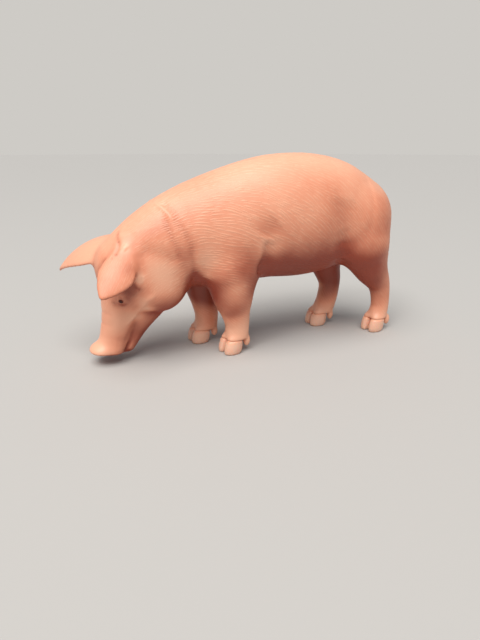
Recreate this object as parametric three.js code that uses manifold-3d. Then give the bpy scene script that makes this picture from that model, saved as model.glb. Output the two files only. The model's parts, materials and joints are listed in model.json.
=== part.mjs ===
// A standing pig with its snout lowered to the ground: a small moulded figure, parted into its named parts.
// Millimetres, +Z up. The pig faces -Y and +X is its left side.
import * as THREE from "three";
import { mergeVertices } from "three/addons/utils/BufferGeometryUtils.js";
import Module from "manifold-3d";

const wasm = await Module();
wasm.setup();

// ---- Driving dimensions ----
const CUT = 0.3; // width of every parting cut

// The body's spine from the poll to the rump: y, z, radius and width as a share of height.
const SPINE = [
  [-35, 34.2, 8.7, 0.98],
  [-24, 37.9, 13.5, 0.88],
  [-12, 41.3, 16.8, 0.84],
  [2, 43.9, 19.4, 0.81],
  [16, 46.0, 21.1, 0.81],
  [28, 46.2, 21.8, 0.79],
  [38, 46.2, 20.4, 0.8],
  [45, 46.3, 17.3, 0.89],
  [51.2, 44.4, 15.7, 0.95],
];

const CRANIUM = { at: [0, -31.2, 32.6], size: [10.2, 9.6, 10.5] };
const CHEEK = { at: [4.6, -24.6, 27.4], size: [7.4, 9.9, 9.6] };
// y, z and radius along the muzzle and along the lower jaw.
const MUZZLE = [
  [-33.5, 27, 9.4],
  [-37.4, 16.5, 6.0],
  [-39.8, 9.5, 4.8],
];
const JAW = [[-26.8, 20.4, 6.0], [-31.3, 12.9, 3.8], [-35.6, 5.8, 2.9]];
// The end of the snout: squash makes it fuller below its middle, blunt at its ends, and its disc is tilted.
const SNOUT = {
  at: [0, -42.7, 5.0], size: [5.1, 5.8, 2.9], tilt: 3, squash: 0.5, blunt: 1.5,
  floor: 4.1, discTilt: -5.5, discEdge: 0.6,
};
const NOSTRIL = { x: 1.9, y: -43.6, size: [0.95, 1.2, 1.6] };
const EYE = { at: [7.0, -36.95, 24.0], radius: 1.5 };

// Each leg: the muscle above it, then x, y, z and radius from the elbow or stifle to the pastern.
const LEGS = {
  front_left: {
    muscle: { at: [7.8, 0.5, 37], size: [8, 11, 15] },
    bones: [
      [8, -0.3, 30, 8.8],
      [7.6, 0.6, 22, 7.4],
      [7.1, 1.7, 16, 5.5],
      [6.9, 2.5, 10.5, 4.5],
      [6.9, 2.3, 5.5, 4.4],
    ],
    foot: { x: 7, y: 0.6, turn: 14 },
    part: [[-30, 30], [-10, 34], [0, 43], [9.5, 37], [12, 28], [12, 10]],
  },
  front_right: {
    muscle: { at: [-7.8, -4, 37], size: [8, 11, 15] },
    bones: [
      [-8, -5, 30, 8.6],
      [-7.9, -5.2, 22, 6.9],
      [-7.2, -5, 16, 5.2],
      [-7.1, -4.5, 10.5, 4.5],
      [-7.1, -4.9, 5.5, 4.5],
    ],
    foot: { x: -7.1, y: -7, turn: 8 },
    part: [[-30, 30], [-14, 35], [-4.5, 43], [5, 37], [7.5, 28], [7.5, 10]],
  },
  hind_left: {
    muscle: { at: [8.4, 49.2, 42], size: [8, 11.8, 14] },
    bones: [
      [8.2, 52.8, 35, 9.6],
      [7.9, 57, 26.5, 6.7],
      [7.2, 62.3, 19, 4.4],
      [7.1, 63.9, 11, 3.7],
      [7.2, 63.0, 5.5, 4.0],
    ],
    foot: { x: 7.2, y: 61.8, turn: 14 },
    part: [[39.5, 10], [39.5, 32], [47, 43], [56, 45], [66, 40], [80, 36]],
  },
  hind_right: {
    muscle: { at: [-8.4, 45, 42], size: [8, 12.4, 14] },
    bones: [
      [-8.2, 45.2, 35, 9.8],
      [-7.8, 46.6, 26, 6.4],
      [-7.3, 48.7, 18, 4.6],
      [-7.2, 48.0, 11, 4.3],
      [-7.1, 46.1, 5.5, 4.4],
    ],
    foot: { x: -7.1, y: 43.9, turn: 4 },
    part: [[34, 10], [34, 32], [42, 43], [51, 45], [64, 40], [80, 36]],
  },
};
const LEG_ROOT = 1.2; // how far from the middle plane each leg's inner cut lies

const ANKLE = 5.0; // height where the legs end and the hooves begin
const PASTERN = { at: [2.1, 0.5, 4.0], size: [2.15, 3.25, 2.9] }; // one of two, side by side above the toes

// A hoof is one of a foot's two toes, and a dewclaw hangs behind each.
const HOOF = {
  spread: 2.15,
  // Height, half width, half length and middle, measured forwards, of each ring from the sole up.
  rings: [
    [0, 1.65, 3.0, 1.1],
    [0.6, 1.95, 3.35, 1.12],
    [2.6, 2.1, 3.45, 0.9],
    [ANKLE - CUT, 2.0, 3.05, 0.52],
  ],
  square: 0.75, // below 1 the toe's section is fuller than an ellipse
};
const DEWCLAW = { spread: 2.4, back: 4.6, height: 4.1, size: [1.3, 1.4, 2.3] };

// Each ear: root and tip, the way its outer face looks, half width, where along it the ear is widest, the
// share of that width at its root, how round and how pointed its end is, how far its middle lies aside, how
// far it arches and how far its root twists.
const EARS = {
  left: {
    root: [7.3, -34.9, 39.9],
    tip: [16.9, -44.6, 27.3],
    face: [0.8, -0.25, 0.35],
    half: 6.05,
    widest: 0.51,
    base: 0.46,
    round: 1.4,
    point: 0.67,
    sweep: 1.05,
    bow: 1.0,
    twist: 0,
  },
  right: {
    root: [-5.8, -36.6, 40],
    tip: [-20, -54.9, 28],
    face: [0.3, -0.5, 0.78],
    half: 7.9,
    widest: 0.28,
    base: 0.95,
    round: 1.6,
    point: 1.15,
    sweep: -0.1,
    bow: 2.7,
    twist: 10,
  },
};
const EAR = { thick: 1.05, thin: 0.6, cup: 1.5, buried: 3.5, least: 0.35, rings: 15, sides: 12 };

// The tail leaves the rump as a stem and curls to the right side.
const TAIL = {
  stem: [[0, 58, 48.6], [0, 64, 49.6]],
  middle: [-2.5, 69.6, 48.8],
  radius: 1.8,
  pitch: 3.2,
  turns: 1.3,
  thick: 1.15,
  thin: 0.65,
};

// Cuts seen from the side, as y and z: behind the head, before the shoulders, along the mouth and
// over the snout.
const HEAD_CUT = [[-41, 62], [-14.05, 13]];
const NECK_CUT = [[-18, 70], [-14.9, 12]];
const MOUTH_CUT = [[-37.5, -2], [-37.0, 4.6], [-34.9, 10], [-32.9, 14.2], [-28.5, 17.6], [-24, 17], [-12, 6]];
const SNOUT_CUT = [[-50, 10.4], [-35.9, 7.0]];

// Spacing of the surface net along each axis: [from, to, step].
const NET = {
  x: [[-24, -12, 2.4], [-12, 12, 1.8], [12, 24, 2.4]],
  y: [[-54, -36, 1.5], [-36, -14, 2.0], [-14, 72, 2.6]],
  z: [[-3, 12, 1.875], [12, 71, 2.36]],
};
const SIMPLER = 0.15; // how far simplified facets may leave the net

// ---- Smooth solids as fields: negative inside, about the distance in millimetres ----
const clamp = THREE.MathUtils.clamp;
const radians = THREE.MathUtils.degToRad;

function join(a, b, blend) {
  const h = Math.max(blend - Math.abs(a - b), 0) / blend;
  return Math.min(a, b) - (h * h * blend) / 4;
}

function carve(a, b, blend) {
  return -join(-a, -b, blend);
}

function ellipsoid([x, y, z], { at, size, tilt = 0 }) {
  const angle = radians(tilt);
  const dy = y - at[1];
  const dz = z - at[2];
  const u = x - at[0];
  const v = dy * Math.cos(angle) + dz * Math.sin(angle);
  const w = -dy * Math.sin(angle) + dz * Math.cos(angle);
  const near = Math.hypot(u / size[0], v / size[1], w / size[2]);
  const far = Math.hypot(u / size[0] ** 2, v / size[1] ** 2, w / size[2] ** 2) + 1e-9;
  return (near * (near - 1)) / far;
}

// A smooth tube, the envelope of balls along stations of x, y, z, radius and width share.
class Sweep {
  constructor(stations, steps = 16) {
    const first = stations[0].map((value, i) => 2 * value - stations[1][i]);
    const last = stations.at(-1).map((value, i) => 2 * value - stations.at(-2)[i]);
    const keys = [first, ...stations, last];
    this.rows = [];
    for (let k = 1; k < keys.length - 2; k++) {
      for (let s = 0; s < steps; s++) this.rows.push(this.between(keys, k, s / steps));
    }
    this.rows.push(stations.at(-1));
    this.run = [0];
    for (let i = 1; i < this.rows.length; i++) {
      const [a, b] = [this.rows[i - 1], this.rows[i]];
      this.run.push(this.run[i - 1] + Math.hypot(b[0] - a[0], b[1] - a[1], b[2] - a[2]));
    }
    this.length = this.run.at(-1);
  }

  between(keys, k, t) {
    const [a, b, c, d] = keys.slice(k - 1, k + 3);
    return b.map((_, i) => {
      const cubic = 3 * b[i] - a[i] - 3 * c[i] + d[i];
      const square = 2 * a[i] - 5 * b[i] + 4 * c[i] - d[i];
      return 0.5 * (2 * b[i] + (c[i] - a[i]) * t + square * t * t + cubic * t * t * t);
    });
  }

  // The row at a length along the tube, with its change for each millimetre.
  at(length) {
    const last = this.rows.length - 2;
    let i = Math.min(last, Math.floor((length / this.length) * (last + 1)));
    while (i > 0 && this.run[i] > length) i--;
    while (i < last && this.run[i + 1] < length) i++;
    const span = this.run[i + 1] - this.run[i];
    const t = (length - this.run[i]) / span;
    const [a, b] = [this.rows[i], this.rows[i + 1]];
    const slope = a.map((value, j) => (b[j] - value) / span);
    return { row: a.map((value, j) => value + (b[j] - value) * t), slope };
  }

  distance([x, y, z]) {
    const [a, b] = [this.rows[0], this.rows.at(-1)];
    const chord = [b[0] - a[0], b[1] - a[1], b[2] - a[2]];
    const along = (x - a[0]) * chord[0] + (y - a[1]) * chord[1] + (z - a[2]) * chord[2];
    let length = clamp(along / (chord[0] ** 2 + chord[1] ** 2 + chord[2] ** 2), 0, 1) * this.length;
    let reach = 0;
    let radius = 0;
    for (let turn = 0; turn < 9; turn++) {
      const { row, slope } = this.at(length);
      const [dx, dy, dz] = [x - row[0], y - row[1], z - row[2]];
      reach = Math.hypot(dx / row[4], dy, dz);
      radius = row[3];
      const step = dx * slope[0] + dy * slope[1] + dz * slope[2] + reach * slope[3];
      length = clamp(length + 0.7 * step, 0, this.length);
    }
    return reach - radius;
  }
}

const LIMB_WIDTH = 0.9;
const spine = new Sweep(SPINE.map(([y, z, radius, width]) => [0, y, z, radius, width]));
const muzzle = new Sweep(MUZZLE.map(([y, z, radius]) => [0, y, z, radius, 0.95]));
const jaw = new Sweep(JAW.map(([y, z, radius]) => [0, y, z, radius, 0.95]));
const limbs = Object.values(LEGS).map((leg) => ({
  ...leg,
  tube: new Sweep(leg.bones.map((station) => [...station, LIMB_WIDTH])),
}));

// A foot's own frame: how far a point is to the side of the foot and in front of it.
function footFrame(foot, x, y) {
  const angle = radians(foot.turn);
  const dx = x - foot.x;
  const dy = y - foot.y;
  return [dx * Math.cos(angle) + dy * Math.sin(angle), dx * Math.sin(angle) - dy * Math.cos(angle)];
}

function pastern([x, y, z], foot) {
  const [side, front] = footFrame(foot, x, y);
  return ellipsoid([Math.abs(side), front, z], PASTERN);
}

// The end of the snout, cut flat by its disc.
function nose([x, y, z]) {
  const [, middleY, middleZ] = SNOUT.at;
  const tilt = radians(SNOUT.discTilt);
  const along = (y - middleY) / SNOUT.size[1];
  const blunted = middleY + Math.sign(along) * Math.abs(along) ** SNOUT.blunt * SNOUT.size[1];
  const lifted = z < middleZ ? middleZ + (z - middleZ) * SNOUT.squash : z;
  const disc = (SNOUT.floor - z) * Math.cos(tilt) + (y - middleY) * Math.sin(tilt);
  return carve(ellipsoid([x, blunted, lifted], SNOUT), disc, SNOUT.discEdge);
}

function head(point) {
  const [x, y, z] = point;
  const mirrored = [Math.abs(x), y, z];
  let d = ellipsoid(point, CRANIUM);
  d = join(d, ellipsoid(mirrored, CHEEK), 5);
  d = join(d, join(muzzle.distance(point), nose(point), 3.4), 4);
  return join(d, jaw.distance(point), 1.8);
}

function flesh(point) {
  let d = spine.distance(point);
  for (const leg of limbs) {
    let limb = join(leg.tube.distance(point), ellipsoid(point, leg.muscle), 4);
    limb = join(limb, pastern(point, leg.foot), 1.5);
    d = join(d, limb, 3);
  }
  return join(d, head(point), 4);
}

// ---- From fields and geometries to solids ----
function ticks(ranges) {
  const out = [ranges[0][0]];
  for (const [from, to, step] of ranges) {
    const count = Math.round((to - from) / step);
    for (let i = 1; i <= count; i++) out.push(from + ((to - from) * i) / count);
  }
  return out;
}

// A closed surface net of the field's level, with its points moved onto that level.
function net(field, axes, level = 0) {
  const [xs, ys, zs] = axes.map(ticks);
  const [nx, ny, nz] = [xs.length, ys.length, zs.length];
  const index = (i, j, k) => (k * ny + j) * nx + i;
  const value = new Float64Array(nx * ny * nz);
  for (let k = 0; k < nz; k++) {
    for (let j = 0; j < ny; j++) {
      for (let i = 0; i < nx; i++) value[index(i, j, k)] = field([xs[i], ys[j], zs[k]]) - level;
    }
  }
  const corners = [];
  for (let c = 0; c < 8; c++) corners.push([c & 1, (c >> 1) & 1, c >> 2]);
  const cells = new Map();
  const points = [];
  for (let k = 0; k < nz - 1; k++) {
    for (let j = 0; j < ny - 1; j++) {
      for (let i = 0; i < nx - 1; i++) {
        const here = corners.map(([a, b, c]) => value[index(i + a, j + b, k + c)]);
        const inside = here.filter((v) => v < 0).length;
        if (inside === 0 || inside === 8) continue;
        const sum = [0, 0, 0];
        let crossings = 0;
        for (let a = 0; a < 8; a++) {
          for (const bit of [1, 2, 4]) {
            const b = a | bit;
            if (b === a || here[a] < 0 === here[b] < 0) continue;
            const t = here[a] / (here[a] - here[b]);
            sum.forEach((_, axis) => {
              sum[axis] += corners[a][axis] + (corners[b][axis] - corners[a][axis]) * t;
            });
            crossings++;
          }
        }
        const [u, v, w] = sum.map((s) => s / crossings);
        cells.set(index(i, j, k), points.length);
        points.push([
          xs[i] + (xs[i + 1] - xs[i]) * u,
          ys[j] + (ys[j + 1] - ys[j]) * v,
          zs[k] + (zs[k + 1] - zs[k]) * w,
        ]);
      }
    }
  }
  const faces = [];
  // The four cells round the edge from a grid point along one axis, in the order of a face of the net.
  const around = [
    [[0, 0, 0], [0, 1, 0], [0, 1, 1], [0, 0, 1]],
    [[0, 0, 0], [0, 0, 1], [1, 0, 1], [1, 0, 0]],
    [[0, 0, 0], [1, 0, 0], [1, 1, 0], [0, 1, 0]],
  ];
  for (let k = 1; k < nz - 1; k++) {
    for (let j = 1; j < ny - 1; j++) {
      for (let i = 1; i < nx - 1; i++) {
        const here = value[index(i, j, k)] < 0;
        for (let axis = 0; axis < 3; axis++) {
          const [a, b, c] = [0, 1, 2].map((other) => Number(other === axis));
          if (here === value[index(i + a, j + b, k + c)] < 0) continue;
          const cell = around[axis].map(([u, v, w]) => cells.get(index(i - u, j - v, k - w)));
          if (!here) cell.reverse();
          faces.push([cell[0], cell[1], cell[2]], [cell[0], cell[2], cell[3]]);
        }
      }
    }
  }
  return { points: points.map((p) => settle(p, field, level)), faces };
}

// Moves a point along the field's slope until it lies on the level.
function settle(point, field, level) {
  const reach = 0.05;
  let p = point;
  for (let turn = 0; turn < 3; turn++) {
    const here = field(p) - level;
    const slope = [0, 1, 2].map((axis) => {
      const next = [...p];
      next[axis] += reach;
      return (field(next) - level - here) / reach;
    });
    const steep = slope[0] ** 2 + slope[1] ** 2 + slope[2] ** 2;
    if (steep < 0.05) break;
    const step = clamp(here / steep, -0.8, 0.8);
    p = p.map((value, axis) => value - slope[axis] * step);
  }
  return p;
}

function solidOfFaces({ points, faces }) {
  const mesh = new wasm.Mesh({
    numProp: 3,
    vertProperties: Float32Array.from(points.flat()),
    triVerts: Uint32Array.from(faces.flat()),
  });
  return new wasm.Manifold(mesh);
}

function solidOf(geometry) {
  const bare = geometry.clone();
  bare.deleteAttribute("normal");
  bare.deleteAttribute("uv");
  const merged = mergeVertices(bare, 1e-4);
  const mesh = new wasm.Mesh({
    numProp: 3,
    vertProperties: Float32Array.from(merged.attributes.position.array),
    triVerts: Uint32Array.from(merged.index.array),
  });
  return new wasm.Manifold(mesh);
}

function geometryOf(solid) {
  const mesh = solid.getMesh();
  const geometry = new THREE.BufferGeometry();
  geometry.setAttribute("position", new THREE.BufferAttribute(Float32Array.from(mesh.vertProperties), 3));
  geometry.setIndex(new THREE.BufferAttribute(Uint32Array.from(mesh.triVerts), 1));
  return geometry;
}

// A closed skin over rings of points, each ring with the same count, closed by a point at both ends.
function loft(rings) {
  const count = rings[0].length;
  const points = rings.flat();
  const faces = [];
  for (let r = 0; r < rings.length - 1; r++) {
    for (let i = 0; i < count; i++) {
      const [a, b] = [r * count + i, r * count + ((i + 1) % count)];
      faces.push([a, b, b + count], [a, b + count, a + count]);
    }
  }
  const middle = (ring) => [0, 1, 2].map((axis) => ring.reduce((sum, p) => sum + p[axis], 0) / count);
  const start = points.push(middle(rings[0])) - 1;
  const end = points.push(middle(rings.at(-1))) - 1;
  const top = (rings.length - 1) * count;
  for (let i = 0; i < count; i++) {
    faces.push([start, (i + 1) % count, i], [end, top + i, top + ((i + 1) % count)]);
  }
  return solidOfFaces({ points, faces });
}

// A thin blade that stands on a line of y and z points and runs from one x to another.
function blade(line, from, to) {
  const sides = [1, -1].map((side) =>
    line.map(([y, z], i) => {
      const [a, b] = [line[Math.max(i - 1, 0)], line[Math.min(i + 1, line.length - 1)]];
      const run = Math.hypot(b[0] - a[0], b[1] - a[1]);
      const half = (side * CUT) / 2 / run;
      return [y - half * (b[1] - a[1]), z + half * (b[0] - a[0])];
    }),
  );
  return slab([...sides[0], ...sides[1].reverse()], from, to);
}

// An outline of y and z points, extruded along x.
function slab(outline, from, to) {
  const shape = new THREE.Shape(outline.map(([y, z]) => new THREE.Vector2(y, z)));
  const geometry = new THREE.ExtrudeGeometry(shape, { depth: to - from, bevelEnabled: false });
  geometry.applyMatrix4(new THREE.Matrix4().set(0, 0, 1, from, 1, 0, 0, 0, 0, 1, 0, 0, 0, 0, 0, 1));
  return solidOf(geometry);
}

function smoothLine(line, count = 14) {
  const curve = new THREE.SplineCurve(line.map(([y, z]) => new THREE.Vector2(y, z)));
  return curve.getPoints(count).map((p) => [p.x, p.y]);
}

// The pieces that a cut leaves, without its crumbs, from front to back.
function pieces(solid) {
  const crumb = 5;
  const whole = solid.decompose().filter((piece) => piece.volume() > crumb);
  return whole.sort((a, b) => middleOf(a)[1] - middleOf(b)[1]);
}

function middleOf(solid) {
  const { min, max } = solid.boundingBox();
  return [0, 1, 2].map((axis) => (min[axis] + max[axis]) / 2);
}

function bead(at, size, sides = 12) {
  return solidOf(new THREE.SphereGeometry(1, sides, sides / 2).scale(...size).translate(...at));
}

// ---- The flesh, modelled whole and parted ----
const axes = [NET.x, NET.y, NET.z];
const whole = solidOfFaces(net(flesh, axes)).simplify(SIMPLER);
const grown = solidOfFaces(net(flesh, axes, CUT)).simplify(SIMPLER);

const ACROSS = [-40, 40]; // a blade over the full width
const FLOOR = -6; // a height below the feet
const solids = {};

// Head, neck and the rest.
const headCut = blade(HEAD_CUT, ...ACROSS);
const neckCut = blade(NECK_CUT, ...ACROSS);
const [front, neck, rear] = pieces(whole.subtract(headCut).subtract(neckCut));
solids.neck = neck;

// The front parts into snout, skull and lower jaw.
const mouthCut = blade(smoothLine(MOUTH_CUT), ...ACROSS);
const snoutCut = blade(SNOUT_CUT, ...ACROSS);
const [snout, skull, lowerJaw] = pieces(front.subtract(mouthCut).subtract(snoutCut));
const nostrils = [1, -1].map((side) => bead([side * NOSTRIL.x, NOSTRIL.y, SNOUT.floor], NOSTRIL.size, 8));
solids.snout = snout.subtract(nostrils[0]).subtract(nostrils[1]);
solids.lower_jaw = lowerJaw;

// The eyes sit in sockets of the skull.
solids.head = skull;
for (const [name, side] of [["left", 1], ["right", -1]]) {
  const at = [side * EYE.at[0], EYE.at[1], EYE.at[2]];
  const [ball, socket] = [EYE.radius, EYE.radius + CUT].map((radius) => bead(at, [radius, radius, radius]));
  solids[`eye_${name}`] = ball;
  solids.head = solids.head.subtract(socket);
}

// Each leg parts from the trunk along its line and along a wall near the middle plane.
const below = [[-70, FLOOR], [90, FLOOR], [90, ANKLE], [-70, ANKLE]];
let trunk = rear.subtract(slab(below, ...ACROSS));
for (const leg of Object.values(LEGS)) {
  const side = Math.sign(leg.foot.x);
  const line = smoothLine(leg.part);
  const under = [...line, [line.at(-1)[0], FLOOR], [line[0][0], FLOOR]];
  const reach = [side * LEG_ROOT, side * ACROSS[1]].sort((a, b) => a - b);
  const wall = [side * LEG_ROOT - CUT / 2, side * LEG_ROOT + CUT / 2];
  trunk = trunk.subtract(blade(line, ...reach)).subtract(slab(under, ...wall));
}
const [frontRight, frontLeft, middle, hindRight, hindLeft] = pieces(trunk);
solids.trunk = middle;
const limbOf = { front_left: frontLeft, front_right: frontRight, hind_left: hindLeft, hind_right: hindRight };

// A point of a foot: so far to its side, in front of its middle and above the ground.
function footPoint(foot, side, forward, height) {
  const angle = radians(foot.turn);
  const x = foot.x + side * Math.cos(angle) + forward * Math.sin(angle);
  const y = foot.y + side * Math.sin(angle) - forward * Math.cos(angle);
  return [x, y, height];
}

function hoof(foot, side, count = 14) {
  const rings = HOOF.rings.map(([height, width, length, forward]) => {
    const ring = [];
    for (let i = 0; i < count; i++) {
      const angle = (i / count) * 2 * Math.PI;
      const across = Math.sign(Math.cos(angle)) * Math.abs(Math.cos(angle)) ** HOOF.square;
      const aside = side * HOOF.spread + width * across;
      ring.push(footPoint(foot, aside, forward - length * Math.sin(angle), height));
    }
    return ring;
  });
  return loft(rings);
}

for (const [name, { foot }] of Object.entries(LEGS)) {
  let limb = limbOf[name];
  for (const [toe, side] of [["left", 1], ["right", -1]]) {
    solids[`hoof_${name}_${toe}`] = hoof(foot, side);
    const behind = footPoint(foot, side * DEWCLAW.spread, -DEWCLAW.back, DEWCLAW.height);
    limb = limb.add(bead(behind, DEWCLAW.size, 8));
  }
  solids[`leg_${name}`] = limb;
}

// An ear: a leaf that arches along its length and curls down at its margins.
function ear({ root, tip, face, half, widest, base, round, point, sweep, bow, twist }) {
  const start = new THREE.Vector3(...root);
  const along = new THREE.Vector3(...tip).sub(start);
  const length = along.length();
  along.normalize();
  const outward = new THREE.Vector3(...face);
  outward.addScaledVector(along, -outward.dot(along)).normalize();
  const sideways = outward.clone().cross(along);
  const rings = [];
  for (let r = 0; r < EAR.rings; r++) {
    const from = -EAR.buried / length;
    const t = from + (0.99 - from) * (r / (EAR.rings - 1)) ** 0.85;
    const u = Math.max(t, 0);
    const narrow = (u - widest) / (1 - widest);
    const rising = base + (1 - base) * Math.sin(((Math.PI / 2) * u) / widest);
    const share = u > widest ? (1 - narrow ** round) ** point : rising;
    const width = Math.max(half * share, EAR.least);
    const aside = sweep * 4 * u * (1 - u);
    const thickness = EAR.thick + (EAR.thin - EAR.thick) * u;
    const turn = radians(twist) * (1 - u);
    const ring = [];
    for (let i = 0; i < EAR.sides; i++) {
      const angle = (i / EAR.sides) * 2 * Math.PI;
      const across = width * Math.cos(angle);
      const up = thickness * Math.sin(angle) - EAR.cup * (across / half) ** 2;
      const b = (across + aside) * Math.cos(turn) - up * Math.sin(turn);
      const c = (across + aside) * Math.sin(turn) + up * Math.cos(turn) + bow * 4 * u * (1 - u);
      const p = start.clone().addScaledVector(along, t * length);
      ring.push(p.addScaledVector(sideways, b).addScaledVector(outward, c).toArray());
    }
    rings.push(ring);
  }
  return loft(rings);
}

for (const [name, shape] of Object.entries(EARS)) {
  const outside = ear(shape).subtract(grown).decompose();
  solids[`ear_${name}`] = outside.sort((a, b) => b.volume() - a.volume())[0];
}

// The tail: a tapering tube along a stem and a curl.
function tail(sides = 8, steps = 30) {
  const [x, y, z] = TAIL.middle;
  const points = TAIL.stem.map((place) => new THREE.Vector3(...place));
  for (let turn = 0; turn <= TAIL.turns; turn += 1 / 8) {
    const angle = turn * 2 * Math.PI;
    const [back, up] = [TAIL.radius * Math.sin(angle), TAIL.radius * Math.cos(angle)];
    points.push(new THREE.Vector3(x - TAIL.pitch * turn, y + back, z + up));
  }
  const curve = new THREE.CatmullRomCurve3(points);
  const frames = curve.computeFrenetFrames(steps);
  const rings = frames.normals.map((normal, i) => {
    const centre = curve.getPointAt(i / steps);
    const radius = TAIL.thick + (TAIL.thin - TAIL.thick) * (i / steps);
    const ring = [];
    for (let k = 0; k < sides; k++) {
      const angle = (k / sides) * 2 * Math.PI;
      const p = centre.clone().addScaledVector(normal, radius * Math.cos(angle));
      ring.push(p.addScaledVector(frames.binormals[i], radius * Math.sin(angle)).toArray());
    }
    return ring;
  });
  return loft(rings);
}

const tailOutside = tail().subtract(grown).decompose();
solids.tail = tailOutside.sort((a, b) => b.volume() - a.volume())[0];

// ---- The figure: one named mesh for each part, its origin at the middle of its footprint ----
const FINISHES = {
  hoof: { color: 0xd9a184, roughness: 0.42 },
  eye: { color: 0x2a1710, roughness: 0.2 },
  snout: { color: 0xe2947a, roughness: 0.5 },
  flesh: { color: 0xe6a98a, roughness: 0.55 },
};

const group = new THREE.Group();
for (const [name, solid] of Object.entries(solids)) {
  const finish = FINISHES[name.split("_")[0]] ?? FINISHES.flesh;
  const material = new THREE.MeshStandardMaterial({ ...finish, metalness: 0 });
  const mesh = new THREE.Mesh(geometryOf(solid.simplify(SIMPLER / 2)), material);
  mesh.name = name;
  group.add(mesh);
}
const box = new THREE.Box3().setFromObject(group);
group.position.set(-(box.min.x + box.max.x) / 2, -(box.min.y + box.max.y) / 2, -box.min.z);

export default group;
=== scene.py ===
"""A small moulded plastic pig: one skin with engraved hair, painted eyes and pale toes, on a studio floor."""
import json
import math
from functools import reduce
from itertools import product
from random import Random

import bmesh
import bpy
import numpy as np
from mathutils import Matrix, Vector
from mathutils.bvhtree import BVHTree


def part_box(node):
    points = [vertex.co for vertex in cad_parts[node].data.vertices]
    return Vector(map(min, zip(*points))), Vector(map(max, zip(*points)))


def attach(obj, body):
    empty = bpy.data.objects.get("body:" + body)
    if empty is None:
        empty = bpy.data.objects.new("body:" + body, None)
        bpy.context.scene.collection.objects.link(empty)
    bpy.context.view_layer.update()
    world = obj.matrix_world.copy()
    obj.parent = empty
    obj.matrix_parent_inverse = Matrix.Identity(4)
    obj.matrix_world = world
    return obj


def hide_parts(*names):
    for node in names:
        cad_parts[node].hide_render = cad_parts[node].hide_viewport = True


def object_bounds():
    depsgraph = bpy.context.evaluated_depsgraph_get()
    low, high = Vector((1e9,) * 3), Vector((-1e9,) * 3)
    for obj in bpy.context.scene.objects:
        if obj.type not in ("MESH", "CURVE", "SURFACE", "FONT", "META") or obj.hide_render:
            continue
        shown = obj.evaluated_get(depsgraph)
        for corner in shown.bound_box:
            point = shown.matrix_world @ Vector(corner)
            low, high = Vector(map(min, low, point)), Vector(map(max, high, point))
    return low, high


bl_info = {
    "name": "Moulded Plastic Pig",
    "version": (1, 0, 0),
    "blender": (4, 5, 0),
    "location": "3D View > Sidebar > Plastic Pig",
    "description": "Builds the skin, hair, eyes and toes of a small moulded plastic pig, and its studio",
    "category": "Object",
}

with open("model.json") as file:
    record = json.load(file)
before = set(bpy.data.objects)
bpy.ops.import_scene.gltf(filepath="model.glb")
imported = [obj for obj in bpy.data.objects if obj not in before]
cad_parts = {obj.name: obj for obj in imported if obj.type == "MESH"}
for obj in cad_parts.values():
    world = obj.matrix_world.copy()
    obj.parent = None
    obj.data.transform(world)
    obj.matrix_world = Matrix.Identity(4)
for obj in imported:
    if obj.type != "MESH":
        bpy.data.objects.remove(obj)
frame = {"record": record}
CAD_BOX = [list(corner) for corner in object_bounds()]
MM = 0.001

# ---- The figure's own numbers, in millimetres: it faces -Y, its left side is +X, its soles are at z 0 ----
EYE = {"at": (7.0, -36.95, 24.0), "radius": 1.5, "gaze": (0.85, -0.45, -0.2), "corner": (0.35, 0.9, 0.1),
       "sunk": 2.1, "opening": (1.3, 0.79, 0.66), "lid": 0.3}
SPINE = [  # y, z, radius and width share, from the neck to the rump
    (-35, 34.2, 8.7, 0.98), (-24, 37.9, 13.5, 0.88), (-12, 41.3, 16.8, 0.84), (2, 43.9, 19.4, 0.81),
    (16, 46, 21.1, 0.81), (28, 46.2, 21.8, 0.79), (38, 46.2, 20.4, 0.8), (45, 46.3, 17.3, 0.89),
    (51.2, 44.4, 15.7, 0.95),
]
CRANIUM = {"at": (0, -31.2, 32.6), "size": (10.2, 9.6, 10.5)}
CHEEK = {"at": (4.6, -24.6, 27.4), "size": (7.4, 9.9, 9.6)}
MUZZLE = [(-33.5, 27, 9.4), (-37.4, 16.5, 6.0), (-39.8, 9.5, 4.8)]  # y, z and radius
JAW = [(-26.8, 20.4, 6.0), (-31.3, 12.9, 3.8), (-35.6, 5.8, 2.9)]
SNOUT = {"at": (0, -42.7, 5.0), "size": (5.1, 5.8, 2.9), "tilt": 3, "squash": 0.5, "blunt": 1.5,
         "floor": 4.1, "disc_tilt": -5.5, "disc_edge": 0.6}
NOSTRIL = {"at": (1.9, -43.6, 3.9), "size": (0.95, 1.2, 1.6)}
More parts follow.
